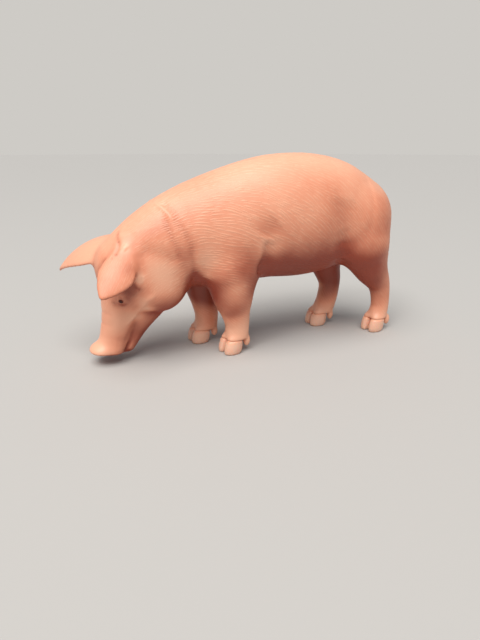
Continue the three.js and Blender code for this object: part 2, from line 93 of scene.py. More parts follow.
LEGS = {  # the muscle, x, y, z and radius down the leg, and the foot's x, y and turn
    "front_left": {"muscle": {"at": (7.8, 0.5, 37), "size": (8, 11, 15)}, "bones": [(8, -0.3, 30, 8.8),
        (7.6, 0.6, 22, 7.4), (7.1, 1.7, 16, 5.5), (6.9, 2.5, 10.5, 4.5), (6.9, 2.3, 5.5, 4.4)],
        "foot": (7, 0.6, 14)},
    "front_right": {"muscle": {"at": (-7.8, -4, 37), "size": (8, 11, 15)}, "bones": [(-8, -5, 30, 8.6),
        (-7.9, -5.2, 22, 6.9), (-7.2, -5, 16, 5.2), (-7.1, -4.5, 10.5, 4.5), (-7.1, -4.9, 5.5, 4.5)],
        "foot": (-7.1, -7, 8)},
    "hind_left": {"muscle": {"at": (8.4, 49.2, 42), "size": (8, 11.8, 14)}, "bones": [(8.2, 52.8, 35, 9.6),
        (7.9, 57, 26.5, 6.7), (7.2, 62.3, 19, 4.4), (7.1, 63.9, 11, 3.7), (7.2, 63, 5.5, 4)],
        "foot": (7.2, 61.8, 14)},
    "hind_right": {"muscle": {"at": (-8.4, 45, 42), "size": (8, 12.4, 14)}, "bones": [(-8.2, 45.2, 35, 9.8),
        (-7.8, 46.6, 26, 6.4), (-7.3, 48.7, 18, 4.6), (-7.2, 48, 11, 4.3), (-7.1, 46.1, 5.5, 4.4)],
        "foot": (-7.1, 43.9, 4)},
}
PASTERN = {"at": (2.1, 0.5, 4.0), "size": (2.15, 3.25, 2.9)}
DEWCLAW = {"at": (2.4, -4.6, 4.1), "size": (1.3, 1.4, 2.3)}
ANKLE = 5.0  # where the skin ends over the toes
# An ear's paint is the depth of its painted shade, deepened further on its underside.
EARS = {
    "left": {"root": (7.3, -34.9, 39.9), "tip": (16.9, -44.6, 27.3), "face": (0.8, -0.25, 0.35), "half": 6.05,
        "widest": 0.51, "base": 0.46, "round": 1.4, "point": 0.67, "sweep": 1.05, "bow": 1, "twist": 0,
        "paint": 0.45},
    "right": {"root": (-5.8, -36.6, 40), "tip": (-20, -54.9, 28), "face": (0.3, -0.5, 0.78), "half": 7.9,
        "widest": 0.28, "base": 0.95, "round": 1.6, "point": 1.15, "sweep": -0.1, "bow": 2.7, "twist": 10,
        "paint": 0.15},
}
EAR = {"thick": 1.05, "thin": 0.6, "cup": 1.5, "buried": 3.5, "rim": 0.45}
WEB = {"at": (10.9, -32.3, 31.5), "size": (0.5, 0.8, 2.5)}  # fills the notch behind the left ear
TAIL = {"stem": [(0, 58, 48.6), (0, 64, 49.6)], "middle": (-2.5, 69.6, 48.8), "radius": 1.8, "pitch": 3.2,
        "turns": 1.3, "thick": 1.15, "thin": 0.65}

# The spacing of the net that finds the skin, along each axis: from, to and step. It is finest at the eyes.
NET = (
    [(-22, -8.8, 0.5), (-8.8, -6.2, 0.27), (-6.2, 6.2, 0.52), (6.2, 8.8, 0.27), (8.8, 22, 0.5)],
    [(-57, -40, 0.42), (-40, -35.5, 0.28), (-35.5, -28, 0.42), (-28, -8, 0.58), (-8, 73, 0.76)],
    [(1.2, 16, 0.42), (16, 22.4, 0.5), (22.4, 25.8, 0.28), (25.8, 44, 0.48), (44, 70, 0.7)],
)

# Folds, wrinkles and broad hollows: points along the line, depth (below 0 a ridge), and half width in front
# of the line and behind it. Their depth also deepens the painted shade there. They are on both sides, as is
# the paint of the next tables, but for rows that end in 1.
CREASES = {
    "neck_front": [[(7.9, -23.1, 51.2), (9.6, -22.6, 49.2), (11.5, -21.9, 46.2), (12.7, -20.8, 43),
        (13.2, -19.8, 40), (13, -19, 37.3), (12.2, -18, 34)], 0.3, 1, 0.9],
    "neck_rear": [[(10.2, -19.8, 50.2), (12.3, -18.4, 46.8), (13.7, -15.9, 42.2), (13.6, -14.9, 37.7),
        (12.7, -14.2, 34.4)], 0.3, 0.9, 1.1],
    "neck_fold": [[(1.7, -24.6, 53.9), (3.7, -23.9, 53.3), (7.1, -22.5, 52.1), (9.7, -21, 50.2),
        (11.5, -20.2, 47.6)], -0.35, 0.6, 0.6],
    "neck_high": [[(4.6, -22, 54), (7.6, -21, 52.8), (10.3, -19.4, 50.6), (12, -18.9, 48)], 0.25, 0.7, 0.7],
    "nape": [[(10.2, -31.3, 40.2), (11.5, -27.5, 39.1), (12.4, -22.7, 37.5), (12.7, -19.3, 35.1)], 0.35, 2.6,
        2.6],
    "jowl": [[(13.4, -14.9, 37), (12.4, -14.1, 33.4), (10.6, -13.8, 30.2), (8, -13.4, 26.6)], 0.4, 1, 1.4],
    "elbow": [[(16.4, 10.2, 42.5), (15.5, 9.5, 37.8), (14.6, 9.2, 34.8), (13.8, 8, 31.4), (11.6, 7.8, 28.2)],
        0.7, 1.1, 3.4],
    "behind_shoulder": [[(16.9, 13.4, 47.6), (16.8, 10.6, 45.2), (16.3, 8.6, 41.8)], 0.5, 4.2, 4.2],
    "flank": [[(15.8, 38.8, 44), (15.2, 40, 39.5), (13.4, 41, 34.2), (11, 41.8, 30.6)], 0.4, 4.2, 2.6],
    "hip": [[(15, 40, 54.1), (16.3, 38.5, 48.7), (16.1, 39.1, 43), (15.3, 39.1, 38.9), (13.6, 39.8, 34.6)],
        0.55, 5.5, 5],
    "groin": [[(12.5, 41.5, 31.5), (8, 42.4, 29.6), (4, 43, 28.8)], 0.7, 3.2, 2.8],
    "mouth": [[(4.5, -32.5, 15.4), (4.2, -32.9, 13.9), (3.8, -33.5, 12.2), (3.5, -34.1, 10.8),
        (3.3, -34.9, 8.6), (3.1, -35.8, 6.6), (2.4, -36.7, 4.6)], 0.55, 0.55, 0.75],
    "lip_end": [[(3.5, -34.6, 8.6), (3.2, -35.7, 6.4), (2.8, -36.6, 4.9), (1.8, -37.2, 4.1), (0, -37.5, 3.9)],
        0.5, 0.45, 0.6],
    "lip": [[(4.2, -31.6, 13.8), (3.5, -32.6, 10.8), (2.9, -33.5, 8.6), (1.9, -34.7, 5.9)], 0.2, 0.5, 0.6],
    "cheek": [[(4.9, -37, 12.8), (5.2, -35.9, 14.5), (5.6, -34.4, 16.3), (6.2, -32.9, 18), (8.4, -31.6, 21),
        (10.3, -30, 23.4), (11.3, -28.2, 24.8), (12, -25.7, 26.7)], -0.35, 0.9, 0.9],
    "muzzle_high": [[(0, -43.4, 18.6), (3.4, -42.2, 18.5), (5.6, -39.6, 18.2)], 0.13, 0.6, 0.6],
    "muzzle_low": [[(0, -44, 14.8), (3.2, -42.8, 14.7), (5.2, -40.2, 14.4)], 0.13, 0.6, 0.6],
    "under_eye": [[(5.9, -40.2, 23.4), (6.6, -39.2, 22), (7.5, -37.6, 20.9)], 0.22, 0.5, 0.5],
    "brow": [[(6.6, -39.2, 26.2), (8.2, -37.6, 26.4), (9.4, -35.8, 25.6)], -0.3, 0.8, 0.8],
    "poll": [[(3, -36.2, 44.9), (4.6, -36.8, 43.5), (6.4, -36.7, 42.5), (7.9, -37, 41.2), (9.8, -38.8, 38.8)],
        0.3, 0.7, 0.7],
    "ear_knob": [[(8.2, -35.6, 41.4), (9.4, -34.6, 40.6)], -0.35, 1.1, 1.1],
    "behind_ear": [[(9.9, -32.3, 39.4), (11, -31.8, 37), (12, -31.4, 34.5), (11.9, -30.9, 31.5)], 0.2, 0.8,
        1.6],
}
# How dark the painted shade in them is, laid as dark paint along the folds.
CREASE_SHADE = {"mouth": 0.45, "lip_end": 0.6, "lip": 0.1, "under_eye": 0.15, "poll": 0.2, "elbow": 0.15}
# Dabs of dark paint: place, radius and darkness. Most are painted shade: under the ear and behind the eye,
# its painted shadow, along the belly's edge, on the far legs, at the jaw and the hock. The dabs before and
# below the eye darken the paint round it, and the specks at the poll and before the ear are marks in the
# paint itself.
DABS = {
    "eye_corner": [(8, -37.3, 24), 1.1, 0.4],
    "eye_front": [(7.3, -39, 24.2), 0.8, 0.35],
    "eye_low": [(6.4, -39.5, 22.7), 1.4, 0.4],
    "eye_rear": [(9.1, -35.5, 24.6), 1.4, 0.3],
    "under_ear": [(9.9, -35, 27), 2, 0.5],
    "belly_edge": [(9.4, 23.5, 28), 9, 0.35],
    "far_thigh": [(-3.8, 46.5, 18.5), 5, 0.4, 1],
    "far_elbow": [(-2.6, -7, 18), 4, 0.25, 1],
    "jaw": [(3.3, -31.3, 11.2), 2.6, 0.3],
    "hock": [(12.8, 57, 22.4), 3, 0.2, 1],
    "ear_speck_high": [(9.5, -38, 39.3), 0.5, 0.8, 1],
    "ear_speck_low": [(9.95, -39.4, 38.4), 0.42, 0.6, 1],
    "poll_speck": [(6.4, -36.7, 42.5), 0.5, 0.55, 1],
}
# Soft clouds of painted shade, and of painted light where the amount is below 0, as in the highlights on the
# nose and on the ear's knob: place, radius and how much deeper the painted shade is there.
SHADE_AND_LIGHT_CLOUDS = {
    "upper_foreleg": [(16.3, 1.5, 33), 6, 0.3],
    "low_haunch": [(16.8, 49, 36.5), 9, 0.2],
    "rump": [(14.8, 55.6, 47), 8, 0.22],
    "shank": [(8.5, 61.5, 12), 6.5, 0.35, 1],
    "jaw": [(3.4, -31.5, 9.6), 4, 0.25],
    "cheek": [(12.3, -24, 32.5), 6, -0.4],
    "cheek_front": [(10, -31.3, 23.4), 3, -0.45],
    "muzzle_rear": [(6.5, -33.5, 18.5), 3.2, -0.4],
    "cheek_low": [(8.2, -29.4, 19.9), 2.4, -0.75],
    "elbow": [(15.8, 10.6, 39), 4, -0.5],
    "flank": [(15.8, 39.3, 40.5), 5, -0.35],
    "foreleg": [(15.4, -0.8, 26), 4.2, -0.5],
    "breast": [(13.5, -11, 36.5), 4.5, -0.3],
    "breast_low": [(11.8, -9.9, 30.3), 2.2, -0.4],
    "far_pastern": [(-3.1, -4.5, 8.5), 4.5, 0.4, 1],
    "near_pastern": [(11.9, -1, 15), 4, 0.25, 1],
    "haunch_top": [(16, 33.7, 53.2), 8, 0.15],
    "far_shank": [(-4.2, 45.3, 12), 5, 0.45, 1],
    "ear_rear": [(13, -34.3, 35.3), 2.6, 0.15, 1],
    "ear_notch": [(11.4, -32, 31.3), 1.2, -0.7],
    "mouth_corner": [(4.9, -31.9, 16.7), 1.8, -0.5],
    "cheek_high": [(11.3, -32.2, 31.6), 2.2, -0.5],
    "muzzle_side": [(5.2, -38, 15.5), 4.5, -0.33],
    "neck_low": [(13.3, -16.8, 38), 4, 0.3],
    "throat": [(12.9, -12, 34.4), 4.5, -0.35],
    "ear_knob": [(8.8, -35.1, 41), 1.3, -0.6, 1],
    "face": [(5.5, -40, 21), 8, -0.2],
    "nose": [(3, -46.5, 6.5), 5, -0.45],
    "neck": [(9, -24, 46.5), 8, 0.2],
    "shoulder_top": [(8, -10, 56), 10, 0.15],
}

# The line that the hair follows from snout to rump, y and z, and how steeply it falls down the sides there.
LIE_LINE = [(-42.5, 6), (-40, 17), (-34.5, 27), (-26, 34), (-15, 39.5), (0, 43.5), (20, 46), (40, 45.5),
            (56, 43)]
LIE_FALL = [(-30, 0.05), (-18, 0.15), (-8, 0.42), (12, 0.72), (35, 0.8), (60, 1.0)]  # y and slope
GRAIN_ROUND, GRAIN_LEG = 15, 6  # radii on which distances round the body and a leg are measured
# Where the hair is fainter: by how much, and from where to where that comes in along y and along z.
FAINT = [(0.45, (30, 52), (30, 50)), (0.5, (-12, -6), (30, 22)), (0.3, (-17, -24), (42, 36)),
         (0.93, (-24, -32), (24, 17))]
# A hollow's painted shade is felt for at these distances out from the skin.
HOLLOW = [(2.5, 0.35), (6, 0.35), (14, 0.4)]  # how far out a hollow is felt for, and that distance's share
FAR = 50.0  # a distance that stands for out of reach
BOTH = (1, -1)  # the sides, left and right
SOFT = {"leg": 3, "head": 4, "ear": 2.2, "web": 1.6, "tail": 1.2}  # how softly a part runs into the rest


def linear(code):
    """A linear RGBA colour from an sRGB hex code."""
    channels = [int(code[i:i + 2], 16) / 255 for i in (1, 3, 5)]
    return (*[c / 12.92 if c <= 0.04045 else ((c + 0.055) / 1.055) ** 2.4 for c in channels], 1.0)


def unit(v):
    """Ways made 1 long."""
    return v / np.maximum(np.linalg.norm(v, axis=-1, keepdims=True), 1e-6)


def smooth(low, high, value):
    t = np.clip((value - low) / (high - low), 0, 1)
    return t * t * (3 - 2 * t)


# ---- Smooth solids as fields: negative inside, about the distance in millimetres ----
def join(a, b, blend):
    """The nearer of two solids, rounded together where they meet."""
    h = np.maximum(blend - np.abs(a - b), 0) / blend
    return np.minimum(a, b) - h * h * blend / 4


def carve(a, b, blend):
    """What two solids share, with its edge rounded."""
    return -join(-a, -b, blend)


def turned(degrees):
    """The cosine and sine of an angle."""
    return math.cos(math.radians(degrees)), math.sin(math.radians(degrees))


def ellipsoid(p, shape):
    """The distance to an ellipsoid, tilted about the X axis if it says so."""
    x, y, z = (p - np.array(shape["at"])).T
    size, (cos, sin) = np.array(shape["size"]), turned(shape.get("tilt", 0))
    q = np.stack([x, y * cos + z * sin, z * cos - y * sin], 1)
    near = np.linalg.norm(q / size, axis=1)
    return near * (near - 1) / (np.linalg.norm(q / size ** 2, axis=1) + 1e-9)


def spline(keys, steps):
    """Rows along a Catmull-Rom spline through the keys."""
    keys = np.array(keys, float)
    keys = np.vstack([2 * keys[0] - keys[1], keys, 2 * keys[-1] - keys[-2]])
    t = (np.arange(steps) / steps)[:, None]
    spans = []
    for a, b, c, d in zip(keys, keys[1:], keys[2:], keys[3:]):
        cubic = 3 * b - a - 3 * c + d
        square = 2 * a - 5 * b + 4 * c - d
        spans.append(0.5 * (2 * b + (c - a) * t + square * t ** 2 + cubic * t ** 3))
    return np.vstack([*spans, keys[-2]])


class Tube:
    """The envelope of balls along stations of x, y, z, radius and width share."""

    ROWS = 400
    TURNS = 8  # steps towards the nearest station

    def __init__(self, stations):
        dense = spline(stations, 24)
        run = np.concatenate([[0], np.cumsum(np.linalg.norm(np.diff(dense[:, :3], axis=0), axis=1))])
        even = np.linspace(0, run[-1], self.ROWS)
        table = np.stack([np.interp(even, run, column) for column in dense.T], 1)
        slope = np.gradient(table, even, axis=0)
        self.table = np.hstack([table, slope[:, :4]])
        self.length = run[-1]

    def row(self, s):
        place = s / self.length * (self.ROWS - 1)
        i = np.minimum(place.astype(int), self.ROWS - 2)
        return self.table[i] + (self.table[i + 1] - self.table[i]) * (place - i)[:, None]

    def out_from(self, p, s):
        """The row at each station, the way from it to the point, and how far that is."""
        row = self.row(s)
        q = p - row[:, :3]
        return row, q, np.sqrt((q[:, 0] / row[:, 4]) ** 2 + q[:, 1] ** 2 + q[:, 2] ** 2)

    def nearest(self, p):
        """The station nearest to each point, its row, and how far out the point is."""
        first, last = self.table[0, :3], self.table[-1, :3]
        chord = last - first
        s = np.clip((p - first) @ chord / (chord @ chord), 0, 1) * self.length
        for _ in range(self.TURNS):
            row, q, reach = self.out_from(p, s)
            s = np.clip(s + 0.7 * ((q * row[:, 5:8]).sum(1) + reach * row[:, 8]), 0, self.length)
        row, _, reach = self.out_from(p, s)
        return s, row, reach

    def distance(self, p):
        _, row, reach = self.nearest(p)
        return reach - row[:, 3]


def tail_stations():
    x, y, z = TAIL["middle"]
    places = list(TAIL["stem"])
    for turn in np.arange(0, TAIL["turns"] + 0.01, 1 / 8):
        up, back = turned(turn * 360)
        places.append((x - TAIL["pitch"] * turn, y + TAIL["radius"] * back, z + TAIL["radius"] * up))
    radii = np.linspace(TAIL["thick"], TAIL["thin"], len(places))
    return [(*place, radius, 1.0) for place, radius in zip(places, radii)]


spine = Tube([(0, y, z, radius, width) for y, z, radius, width in SPINE])
muzzle = Tube([(0, y, z, radius, 0.95) for y, z, radius in MUZZLE])
jaw = Tube([(0, y, z, radius, 0.95) for y, z, radius in JAW])
lie_line = Tube([(0, y, z, 10, 1.0) for y, z in LIE_LINE])
tail_tube = Tube(tail_stations())
limb_tubes = {name: Tube([(*bone, 0.9) for bone in leg["bones"]]) for name, leg in LEGS.items()}


def within(p, reach, low, high, field, *more):
    """A field worked out only within reach of a box, and far away outside it."""
    out = np.full(len(p), FAR)
    near = ((p > np.array(low) - reach) & (p < np.array(high) + reach)).all(1)
    if near.any():
        out[near] = field(p[near], *more)
    return out


def foot_frame(p, foot):
    """Points in a foot's own frame: to its side, in front of its middle, and up."""
    dx, dy, (cos, sin) = p[:, 0] - foot[0], p[:, 1] - foot[1], turned(foot[2])
    return np.stack([dx * cos + dy * sin, dx * sin - dy * cos, p[:, 2]], 1)


def foot_point(foot, side, front, height):
    """The place of a point given in a foot's own frame."""
    cos, sin = turned(foot[2])
    return foot[0] + side * cos + front * sin, foot[1] + side * sin - front * cos, height


def limb(p, name):
    leg = LEGS[name]
    d = join(limb_tubes[name].distance(p), ellipsoid(p, leg["muscle"]), 4)
    q = foot_frame(p, leg["foot"])
    q[:, 0] = np.abs(q[:, 0])
    d = carve(join(d, ellipsoid(q, PASTERN), 1.5), ANKLE - p[:, 2], 0.8)
    return join(d, ellipsoid(q, DEWCLAW), 0.5)


def nose(p):
    """The end of the snout: full below, and cut flat by the tilted disc."""
    (x, y, z), (middle_y, middle_z), length = p.T, SNOUT["at"][1:], SNOUT["size"][1]
    along, (cos, sin) = (y - middle_y) / length, turned(SNOUT["disc_tilt"])
    blunt = middle_y + np.sign(along) * np.abs(along) ** SNOUT["blunt"] * length
    squashed = np.where(z < middle_z, middle_z + (z - middle_z) * SNOUT["squash"], z)
    disc = (SNOUT["floor"] - z) * cos + (y - middle_y) * sin
    return carve(ellipsoid(np.stack([x, blunt, squashed], 1), SNOUT), disc, SNOUT["disc_edge"])


def head(p):
    mirrored = np.abs(p * (1, 0, 0)) + p * (0, 1, 1)
    d = join(ellipsoid(p, CRANIUM), ellipsoid(mirrored, CHEEK), 5)
    d = join(d, join(muzzle.distance(p), nose(p), 3.4), 4)
    d = join(d, jaw.distance(p), 1.8)
    d = carve(d, -ellipsoid(mirrored, NOSTRIL), 0.4)
    from_eye = mirrored - np.array(EYE["at"])
    d = join(d, np.linalg.norm(from_eye, axis=1) - EYE["radius"] - EYE["lid"], 0.9)
    opening = np.stack([from_eye @ way for way in eye_frame()], 1) - (EYE["sunk"], 0, 0)
    return carve(d, -ellipsoid(opening, {"at": (0, 0, 0), "size": EYE["opening"]}), 0.2)


def eye_frame():
    """The left eye's gaze, the line from its inner to its outer corner, and up."""
    gaze, corner = unit(np.array(EYE["gaze"])), np.array(EYE["corner"])
    corner = unit(corner - gaze * (corner @ gaze))
    return gaze, corner, np.cross(gaze, corner)


def ear_frame(p, shape):
    """Points in an ear's own frame: along it in shares of its length, across it, and out of its bent leaf."""
    root, tip = np.array(shape["root"], float), np.array(shape["tip"], float)
    length, along, q = np.linalg.norm(tip - root), unit(tip - root), p - root
    outward = np.array(shape["face"])
    outward = unit(outward - along * (outward @ along))
    t = q @ along / length
    u = np.clip(t, 0, 1)
    b, c = q @ np.cross(outward, along), q @ outward - shape["bow"] * 4 * u * (1 - u)
    turn = math.radians(shape["twist"]) * (1 - u)
    across = b * np.cos(turn) + c * np.sin(turn) - shape["sweep"] * 4 * u * (1 - u)
    out = -b * np.sin(turn) + c * np.cos(turn) + EAR["cup"] * (across / shape["half"]) ** 2
    return t, across, out, length, along


def ear_half(u, shape):
    """Half the width of an ear at a share of its length."""
    narrow = np.clip((u - shape["widest"]) / (1 - shape["widest"]), 0, 1)
    rising = shape["base"] + (1 - shape["base"]) * np.sin(math.pi / 2 * u / shape["widest"])
    share = np.where(u > shape["widest"], (1 - narrow ** shape["round"]) ** shape["point"], rising)
    return np.maximum(shape["half"] * share, 0.3)


def ear(p, shape):
    t, across, out, length, _ = ear_frame(p, shape)
    u = np.clip(t, 0, 1)
    half = ear_half(u, shape)
    thick = EAR["thick"] + (EAR["thin"] - EAR["thick"]) * u
    thick = thick * (1 - 0.3 * np.minimum((across / half) ** 2, 1))
    leaf = np.hypot(out, EAR["rim"]) - np.hypot(thick, EAR["rim"])
    margin = np.maximum(0.85 * (np.abs(across) - half), t * length - length)
    return carve(leaf, np.maximum(margin, -t * length - EAR["buried"]), 1.1)


def parts(p, reach=0):
    """The distance to each part of the flesh, before they are joined; reach widens the parts' boxes."""
    found = {"trunk": spine.distance(p)}
    for name, leg in LEGS.items():
        x, y, _ = leg["foot"]
        middle_y = leg["muscle"]["at"][1]
        low = (min(0, 3 * x) - 6, min(y, middle_y) - 18, 0)
        high = (max(0, 3 * x) + 6, max(y, middle_y) + 18, 58)
        found["leg_" + name] = within(p, reach, low, high, limb, name)
    found["head"] = within(p, reach, (-16, -56, -1), (16, -8, 50), head)
    for name, shape in EARS.items():
        ends = np.array([shape["root"], shape["tip"]])
        found["ear_" + name] = within(p, reach, ends.min(0) - 9, ends.max(0) + 9, ear, shape)
    found["web"] = within(p, reach, (6, -38, 27), (18, -26, 39), ellipsoid, WEB)
    found["tail"] = within(p, reach, (-12, 54, 40), (6, 78, 58), tail_tube.distance)
    return found


def flesh(p, reach=0):
    """All the parts, joined in their order."""
    trunk, *others = parts(p, reach).items()
    return reduce(lambda d, part: join(d, part[1], SOFT[part[0].split("_")[0]]), others, trunk[1])


# ---- From the field to a mesh ----
SLACK = 1.2  # millimetres by which a block may miss the surface and still be sampled
FILLED = -0.02  # the value of a grid corner that is filled


def ticks(ranges):
    out = [ranges[0][0]]
    for start, stop, step in ranges:
        count = round((stop - start) / step)
        out.extend(start + (stop - start) * (i + 1) / count for i in range(count))
    return np.array(out)


def sampled(axes, field, block=4):
    """The field on a grid, worked out only in the blocks that its surface may cross."""
    groups = [[axis[i:i + block] for i in range(0, len(axis), block)] for axis in axes]
    middles, halves = (np.stack(np.meshgrid(*[np.array([(g[-1] + sign * g[0]) / 2 for g in group])
                                              for group in groups], indexing="ij"), -1) for sign in (1, -1))
    reach = np.linalg.norm(halves, axis=-1)
    rough = field(middles.reshape(-1, 3)).reshape(reach.shape)
    value, wanted = np.sign(rough) * FAR, np.abs(rough) < 1.5 * reach + SLACK
    for axis, group in enumerate(groups):
        sizes = [len(g) for g in group]
        value, wanted = value.repeat(sizes, axis), wanted.repeat(sizes, axis)
    i, j, k = np.nonzero(wanted)
    value[i, j, k] = field(np.stack([axes[0][i], axes[1][j], axes[2][k]], 1))
    return value


def untangle(value):
    """Fills a corner of each grid face whose corners alternate, so that four quads never share an edge."""
    around = ((0, 0), (1, 0), (1, 1), (0, 1))
    for axes in ((0, 1), (1, 2), (0, 2)) * 3:
        grid = np.moveaxis(value, axes, (0, 1))
        n, m = np.array(grid.shape[:2]) - 1
        a, b, c, d = (grid[u:n + u, v:m + v] < 0 for u, v in around)
        for i, j, k in np.argwhere((a == c) & (b == d) & (a != b)):
            spots = [(i + u, j + v, k) for u, v in around if grid[i + u, j + v, k] >= 0]
            grid[min(spots, key=lambda spot: grid[spot])] = FILLED


def net(axes, value):
    """A closed surface net of the zero level: points and quads that face outwards."""
    untangle(value)
    inside = value < 0
    shape = np.array(value.shape) - 1
    corners = [(a, b, c) for a in (0, 1) for b in (0, 1) for c in (0, 1)]

    def at(grid, corner):
        return grid[tuple(slice(c, c + n) for c, n in zip(corner, shape))]

    count = sum(at(inside, corner).astype(np.int8) for corner in corners)
    cells = np.argwhere((count > 0) & (count < 8))
    index = np.full(shape, -1)
    index[tuple(cells.T)] = np.arange(len(cells))
    held = {corner: at(value, corner)[tuple(cells.T)] for corner in corners}
    total, crossings = np.zeros((len(cells), 3)), np.zeros(len(cells))
    step = np.eye(3, dtype=int)
    for a in corners:
        for along in (step[axis] for axis in range(3) if not a[axis]):
            start, end = held[a], held[tuple(along + a)]
            mixed = (start < 0) != (end < 0)
            total[mixed] += a + np.outer(start[mixed] / (start[mixed] - end[mixed]), along)
            crossings += mixed
    local = total / crossings[:, None]
    points = np.stack([axis[cell] + (axis[cell + 1] - axis[cell]) * part
                       for axis, cell, part in zip(axes, cells.T, local.T)], 1)
    quads = []
    for axis in range(3):
        one, two = (axis + 1) % 3, (axis + 2) % 3
        low = inside.take(range(shape[axis]), axis)
        high = inside.take(range(1, shape[axis] + 1), axis)
        edges = np.argwhere(low != high)
        edges = edges[((edges[:, [one, two]] > 0) & (edges[:, [one, two]] < shape[[one, two]])).all(1)]
        ring = np.stack([index[tuple((edges - u * step[one] - v * step[two]).T)]
                         for u, v in ((1, 1), (0, 1), (0, 0), (1, 0))], 1)
        quads.append(np.where(low[tuple(edges.T)][:, None], ring, ring[:, ::-1]))
    return points, np.vstack(quads)


def slope_of(field, p, step=0.08):
    return np.stack([(field(p + e) - field(p - e)) / (2 * step) for e in np.eye(3) * step], 1)


def settle(field, p, turns=1):
    """Points moved onto the field's zero level, and the way out of it there."""
    for _ in range(turns):
        slope = slope_of(field, p)
        p = p - slope * (field(p) / np.maximum((slope ** 2).sum(1), 0.05))[:, None]
    return p, unit(slope_of(field, p))


def relaxed(field, points, quads, rounds=2):
    """Points of a net drawn towards the middle of their neighbours, and settled on the field again."""
    edges = np.vstack([quads[:, [i, (i + 1) % 4]] for i in range(4)])
    count = np.bincount(edges[:, 0], minlength=len(points))[:, None]
    for _ in range(rounds):
        total = [np.bincount(edges[:, 0], points[edges[:, 1], axis], len(points)) for axis in range(3)]
        points, _ = settle(field, (points + np.stack(total, 1) / count) / 2, 1)
    return points


def near_line(p, line):
    """The distance to a broken line, the share of the way along it, and how far behind it a point is."""
    ways = np.diff(line, axis=0)
    run = np.concatenate([[0], np.cumsum(np.linalg.norm(ways, axis=1))])
    out = p[:, None] - line[:-1]
    t = np.clip((out * ways).sum(2) / (ways ** 2).sum(1), 0, 1)
    out -= t[..., None] * ways
    d = np.linalg.norm(out, axis=2)
    nearest = np.arange(len(p)), d.argmin(1)
    return d[nearest], ((run[:-1] + t * np.diff(run)) / run[-1])[nearest], out[..., 1][nearest]


def crease_depths(p):
    """How deep the folds and wrinkles are at each point, and how dark their paint is: painted shade in the
    folds and in most dabs, and the specks on the paint.
    """
    depth, dark = np.zeros(len(p)), np.zeros(len(p))
    for name, (places, deep, front, rear) in CREASES.items():
        for side in BOTH:
            line = spline(np.array(places) * (side, 1, 1), 6)
            reach = 2.6 * max(front, rear)  # past this the profile is next to nothing
            box = ((p > line.min(0) - reach) & (p < line.max(0) + reach)).all(1)
            d, share, behind = near_line(p[box], line)
            width = front + (rear - front) * smooth(-0.7, 0.7, behind / np.maximum(d, 0.05))
            open_end = name.startswith(("muzzle", "poll"))
            fade = smooth(0, 0.2, np.where(open_end, 1 - share, np.minimum(share, 1 - share)))
            profile = np.exp(-((d / width) ** 2)) * fade
            depth[box] += deep * profile
            dark[box] = np.maximum(dark[box], CREASE_SHADE.get(name, 0) * profile)
    for place, radius, amount, *sides in DABS.values():
        for side in sides or BOTH:
            d = np.linalg.norm(p - np.array(place) * (side, 1, 1), axis=1)
            dark = np.maximum(dark, amount * np.exp(-((d / radius) ** 2)))
    return depth, dark


def painted_light_and_shade(p, normal, depth):
    """Painted light and shade, from 0, the palest, to 1: painted shade on what faces down, in hollows and
    folds, high on the legs and on their inner sides; painted light on what faces up and low on the legs.
    """
    (x, y, z), up = p.T, normal[:, 2]
    # The painted shade of a hollow grows with the flesh met out along the normal.
    hollow_shade = sum(np.clip(1 - flesh(p + normal * far, far) / far, 0, 1) * share for far, share in HOLLOW)
    on_body = 1 - smooth(-13, -19, y)
    lifted = 1 - on_body + on_body * smooth(4, 28, z)
    # Painted shade: deeper on what faces down, in a band under the body's bulge, in hollows and folds and
    # high on the legs; painted light on what faces up and low on the legs.
    tone = 0.3 + 0.7 * smooth(0.25, -0.95, up) * lifted - 0.25 * smooth(0.4, 0.95, up)
    tone += 0.25 * np.exp(-(((z - 27) / 9) ** 2)) * smooth(0.6, 0.1, up) * on_body
    tone += 0.75 * hollow_shade * lifted + 0.4 * np.clip(depth, -0.3, 1) - 0.3 * smooth(20, 6, z) * on_body
    # Painted shade on the inner sides of the legs.
    inward = smooth(0.1, 0.9, -np.sign(x) * normal[:, 0])
    tone += 0.4 * inward * smooth(8, 22, z) * smooth(38, 30, z) * on_body
    found = parts(p)
    # Each ear takes its own depth of painted shade, deeper on its underside.
    for name, shape in EARS.items():
        on_ear = smooth(1, 0, found["ear_" + name])
        tone -= on_ear * (tone - (shape["paint"] + 0.3 * smooth(0.3, -0.6, up)))
    # The clouds of painted shade and painted light.
    for place, radius, amount, *sides in SHADE_AND_LIGHT_CLOUDS.values():
        for side in sides or BOTH:
            tone += amount * np.exp(-((p - np.array(place) * (side, 1, 1)) ** 2).sum(1) / radius ** 2)
    return np.clip(tone, 0, 1)


